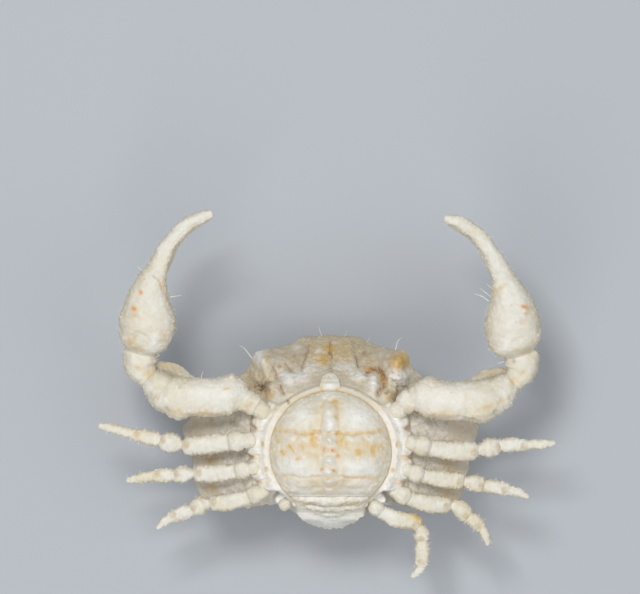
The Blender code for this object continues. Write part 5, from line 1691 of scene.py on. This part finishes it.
LEFT_CLAW_STAINS = (
    Mark(Stain.CORAL, 19.3, 13.3, 0.38, 0.18, 0.9, -20.0),
    *marks(Stain.OCHRE,
        (19.3, 13.25, 0.5, 0.22, 0.7, -20.0), (19.35, 12.6, 0.3, 0.14, 0.45),
        (19.0, 11.8, 0.35, 0.3, 0.35), (19.2, 8.95, 0.9, 0.3, 0.45), (20.0, 9.9, 0.3, 0.3, 0.4),
        (19.2, 6.8, 0.3, 0.22, 0.6), (18.3, 5.9, 0.4, 0.4, 0.4), (16.9, 3.9, 0.6, 0.25, 0.35, 20.0),
        # The mark at 11.0, 2.6 on the next line, a band along the arm's lower edge, is painted shade
        (15.5, 3.3, 0.9, 0.35, 0.45, 20.0), (11.0, 2.6, 1.8, 0.4, 0.4), (13.4, 4.4, 0.25, 0.5, 0.3),
        (16.2, 6.7, 1.3, 0.3, 0.3, 12.0), (7.9, 3.2, 0.6, 0.25, 0.5, -30.0), (16.7, 14.8, 0.4, 0.3, 0.35),
    ),
    Mark(Stain.RUST, 18.28, 7.95, 0.17, 0.2, 0.65),
    Mark(Stain.GREY, 16.1, 6.3, 1.6, 0.5, 0.45, 15.0),
    *marks(Stain.WHITE,
        # The first mark on the next line is a painted highlight on the inner side of the hand's base
        (17.5, 9.5, 0.35, 0.7, 0.8, -15.0), (15.1, 5.8, 0.4, 0.25, 0.8), (11.5, 4.2, 2.6, 0.9, 0.4),
    ),
    Stroke(Stain.OCHRE, ((17.2, 15.6), (16.7, 15.0), (16.1, 14.9)), 0.2, 0.45),
)


# Bristles and fuzz
@dataclass
class Bristles:
    """The long single bristles and the short fuzz along the limbs' edges."""

    slot: str = "claws"
    thickness: float = 0.06
    # Each from its tip to its foot: x and y of every bend, with the heights of tip and foot
    long_ones: tuple[tuple[tuple[Row, ...], float, float], ...] = (
        (((-9.05, 9.4), (-8.59, 9.1), (-7.8, 8.05)), 10.2, 9.3),
        (((-1.15, 11.2), (-0.85, 10.2)), 5.0, 4.0),
        (((1.65, 10.8), (1.45, 10.2)), 4.8, 4.0),
        (((3.95, 10.15), (3.6, 9.6)), 6.4, 5.4),
        (((7.05, 10.15), (6.75, 9.85), (6.5, 8.9)), 10.0, 9.0),
        (((-19.06, 17.2), (-18.2, 16.5)), 14.6, 14.0),
        (((-14.95, 14.45), (-15.95, 14.3)), 13.8, 13.3),
        (((15.55, 15.55), (16.1, 15.1)), 14.4, 13.9),
        (((14.95, 15.1), (16.0, 14.3)), 14.0, 13.4),
        (((14.4, 14.6), (15.1, 14.35), (15.8, 13.85)), 13.8, 13.3),
        (((-12.75, 6.8), (-12.98, 5.9)), 12.8, 12.2),
        (((-17.5, 8.75), (-17.1, 8.5), (-17.9, 8.2)), 12.4, 12.0),
        (((-17.3, 8.1), (-17.9, 8.35)), 12.0, 11.9),
        (((16.3, 9.3), (16.7, 8.9)), 12.5, 12.2),
        (((16.5, 8.4), (17.2, 8.7)), 12.3, 12.0),
        (((16.8, 7.7), (17.5, 7.9)), 12.2, 11.9),
    )

    def strand(self, bends: tuple[Row, ...], tip_height: float, foot_height: float) -> Mesh:
        """One long bristle, thick at its foot and fine at its tip."""
        count = len(bends)
        rows = []
        for i, (x, y) in enumerate(bends):
            share = i / (count - 1)
            rows.append((x, y, mix(tip_height, foot_height, share), mix(0.35, 1.0, share) * self.thickness))
        thread = Segment(tuple(rows), End.TIP, End.TIP, depth=1.0, sides=7, rings=16, condyle=0.0)
        return thread.skin("strand")

    def build(self, shop: Workshop, limbs: list[Object]) -> None:
        """Makes the long bristles, and the fuzz on the limbs."""
        look = shop.finish(BristleFinish())
        strands = joined("long_bristles", [self.strand(*one) for one in self.long_ones])
        strands.materials.append(look)
        piece = bpy.data.objects.new("long_bristles", strands)
        bpy.context.scene.collection.objects.link(piece)
        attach(piece, BODY)
        log.info("long_bristles with %d faces", len(strands.polygons))
        ground = joined("fuzz_ground", [limb.data for limb in limbs])
        piece = FuzzTree().run("short_fuzz", ground, FuzzTree.VALUES, look)
        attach(piece, BODY)
        log.info("short_fuzz with %d faces", len(piece.data.polygons))


class FuzzTree(PieceTree):
    """The Geometry Nodes tree that plants short hairs where a skin's attribute fuzz asks for them."""

    NAME = "limb_fuzz"
    SIZES = ("Hair Length", "Hair Width", "Hairs per mm2")
    VALUES = (0.36, 0.022, 22.0)
    SEED = 7

    def fill(self) -> None:
        """Adds the nodes."""
        tree = self.tree
        given = add_node(tree, "NodeGroupInput").outputs
        position = add_node(tree, "GeometryNodeInputPosition").outputs[0]
        place = self.scaled(position, 1.0 / MM)
        tufts = ramp(tree, noise(tree, place, 1.3, 1.0), 0.45, 0.62)
        dense = self.maths("MULTIPLY", self.share("fuzz"), tufts)
        dense = self.maths("MULTIPLY", dense, given["Hairs per mm2"])
        dense = self.maths("DIVIDE", dense, MM * MM)
        inputs = {"Mesh": given["Geometry"], "Density": dense, "Seed": self.SEED}
        spread = add_node(tree, "GeometryNodeDistributePointsOnFaces", inputs, distribute_method="RANDOM")
        length = self.maths("MULTIPLY", given["Hair Length"], MM)
        width = self.maths("MULTIPLY", given["Hair Width"], MM)
        inputs = {"Vertices": 4, "Radius Top": 0.0, "Radius Bottom": width, "Depth": length}
        hair = add_node(tree, "GeometryNodeMeshCone", inputs).outputs["Mesh"]
        lean = add_node(tree, "FunctionNodeRandomValue", {0: (-0.9,) * 3, 1: (0.9,) * 3, "Seed": self.SEED},
                        data_type="FLOAT_VECTOR").outputs[0]
        size = add_node(tree, "FunctionNodeRandomValue", {2: 0.45, 3: 1.25, "Seed": self.SEED + 1}).outputs[1]
        way = add_node(tree, "ShaderNodeVectorMath", {0: spread.outputs["Normal"], 1: lean}, operation="ADD")
        turned = add_node(tree, "FunctionNodeAlignRotationToVector", {"Vector": way.outputs[0]}, axis="Z")
        inputs = {"Points": spread.outputs["Points"], "Instance": hair, "Scale": size}
        inputs["Rotation"] = turned.outputs[0]
        planted = add_node(tree, "GeometryNodeInstanceOnPoints", inputs)
        self.close(planted.outputs[0], given["Finish"])


# The studio
@dataclass
class Studio:
    """A pale card floor, soft lights and a camera that looks straight down, as the photograph does."""

    frame_centre: Row = (-1.05, 14.3)
    frame_width: float = 64.0
    frame_plane: float = 11.0
    lens: float = 300.0
    sensor: float = 36.0
    # Half the side of the floor, in metres
    floor_half: float = 1.5
    # x, y and height of each light in millimetres from the frame's middle, its size and its power
    lights: dict[str, Row] = field(default_factory=lambda: {
        "key_light": (-60.0, 110.0, 310.0, 90.0, 0.54),
        "fill_light": (190.0, -40.0, 260.0, 220.0, 0.2),
        "rear_light": (-60.0, -190.0, 250.0, 220.0, 0.3),
    })
    sky: str = "#DDE2E8"
    sky_strength: float = 0.4

    def build(self, shop: Workshop) -> None:
        """Makes the floor, the lights and the camera."""
        scene = bpy.context.scene
        centre = PLACING.place(np.array([*self.frame_centre, 0.0]))
        half = self.floor_half
        card = bpy.data.meshes.new("studio_card")
        corners = [(-half, -half, 0.0), (half, -half, 0.0), (half, half, 0.0), (-half, half, 0.0)]
        card.from_pydata(corners, [], [(0, 1, 2, 3)])
        card.materials.append(shop.finish(FloorFinish()))
        floor = bpy.data.objects.new("studio_card", card)
        scene.collection.objects.link(floor)
        for name, (x, y, height, size, power) in self.lights.items():
            lamp = bpy.data.lights.new(name, "AREA")
            lamp.energy = power
            lamp.size = size * MM
            light = bpy.data.objects.new(name, lamp)
            light.location = Vector(centre) + Vector((x, y, height)) * MM
            aim = Vector(PLACING.place(np.array([0.0, 4.0, self.frame_plane])))
            light.rotation_euler = (light.location - aim).to_track_quat("Z", "Y").to_euler()
            scene.collection.objects.link(light)
        world = bpy.data.worlds.new("studio_sky")
        world.use_nodes = True
        world.node_tree.nodes["Background"].inputs["Color"].default_value = linear(self.sky)
        world.node_tree.nodes["Background"].inputs["Strength"].default_value = self.sky_strength
        scene.world = world
        scene.view_settings.view_transform = "Standard"
        lens = bpy.data.cameras.new("photo_camera")
        lens.lens = self.lens
        lens.sensor_width = self.sensor
        far = self.frame_width * self.lens / self.sensor
        lens.clip_start, lens.clip_end = 0.05, 10.0
        camera = bpy.data.objects.new("photo_camera", lens)
        camera.location = PLACING.place(np.array([*self.frame_centre, self.frame_plane + far]))
        scene.collection.objects.link(camera)
        scene.camera = camera


def main() -> None:
    """Builds every piece in order."""
    logging.basicConfig(level=logging.INFO, format="%(name)s: %(message)s")
    shop = Workshop(ReliefTree())
    Studio().build(shop)
    carapace = Carapace()
    carapace.build(shop)
    abdomen = Abdomen()
    abdomen.plate(shop)
    abdomen.telson(shop)
    Tail().build(shop)
    Mouth(carapace).build(shop)
    limbs = []
    right = Claw("right_claw", RIGHT_CLAW_ROWS, RIGHT_CREST, RIGHT_ARM_FORMS, RIGHT_HAND_FORMS,
                 RIGHT_CLAW_STAINS)
    left = Claw("left_claw", LEFT_CLAW_ROWS, LEFT_CREST, LEFT_ARM_FORMS, LEFT_HAND_FORMS, LEFT_CLAW_STAINS)
    for claw in (right, left):
        limbs += claw.build(shop)
    knobs = {
        "right_leg_1": (Lump(-11.2, 0.6, 0.35, 0.3, 0.3),),
        "left_leg_1": (Lump(11.0, 0.2, 0.35, 0.3, 0.25),),
    }
    tanned = marks(Stain.OCHRE, (8.7, -7.9, 0.9, 0.4, 0.75, -50.0), (7.6, -8.9, 0.8, 0.2, 0.45))
    for name, rows in LEG_ROWS.items():
        stains = tanned if name == "left_leg_4" else ()
        limbs += Leg(name, rows, knob=knobs.get(name, ()), stains=stains).build(shop)
    stump = Segment(LEG_STUMP_ROWS, End.ROUND, End.ROUND, girth=1.2, lap=0.4, depth=0.9, condyle=0.0,
                    granule=0.8)
    shop.settle("right_leg_4_stump", stump.skin("stump_skin"), Relief(0.3, 0.05, 0.9, 0.1), LEG_SHELL)
    Bristles().build(shop, limbs)


if __name__ == "__main__":
    main()
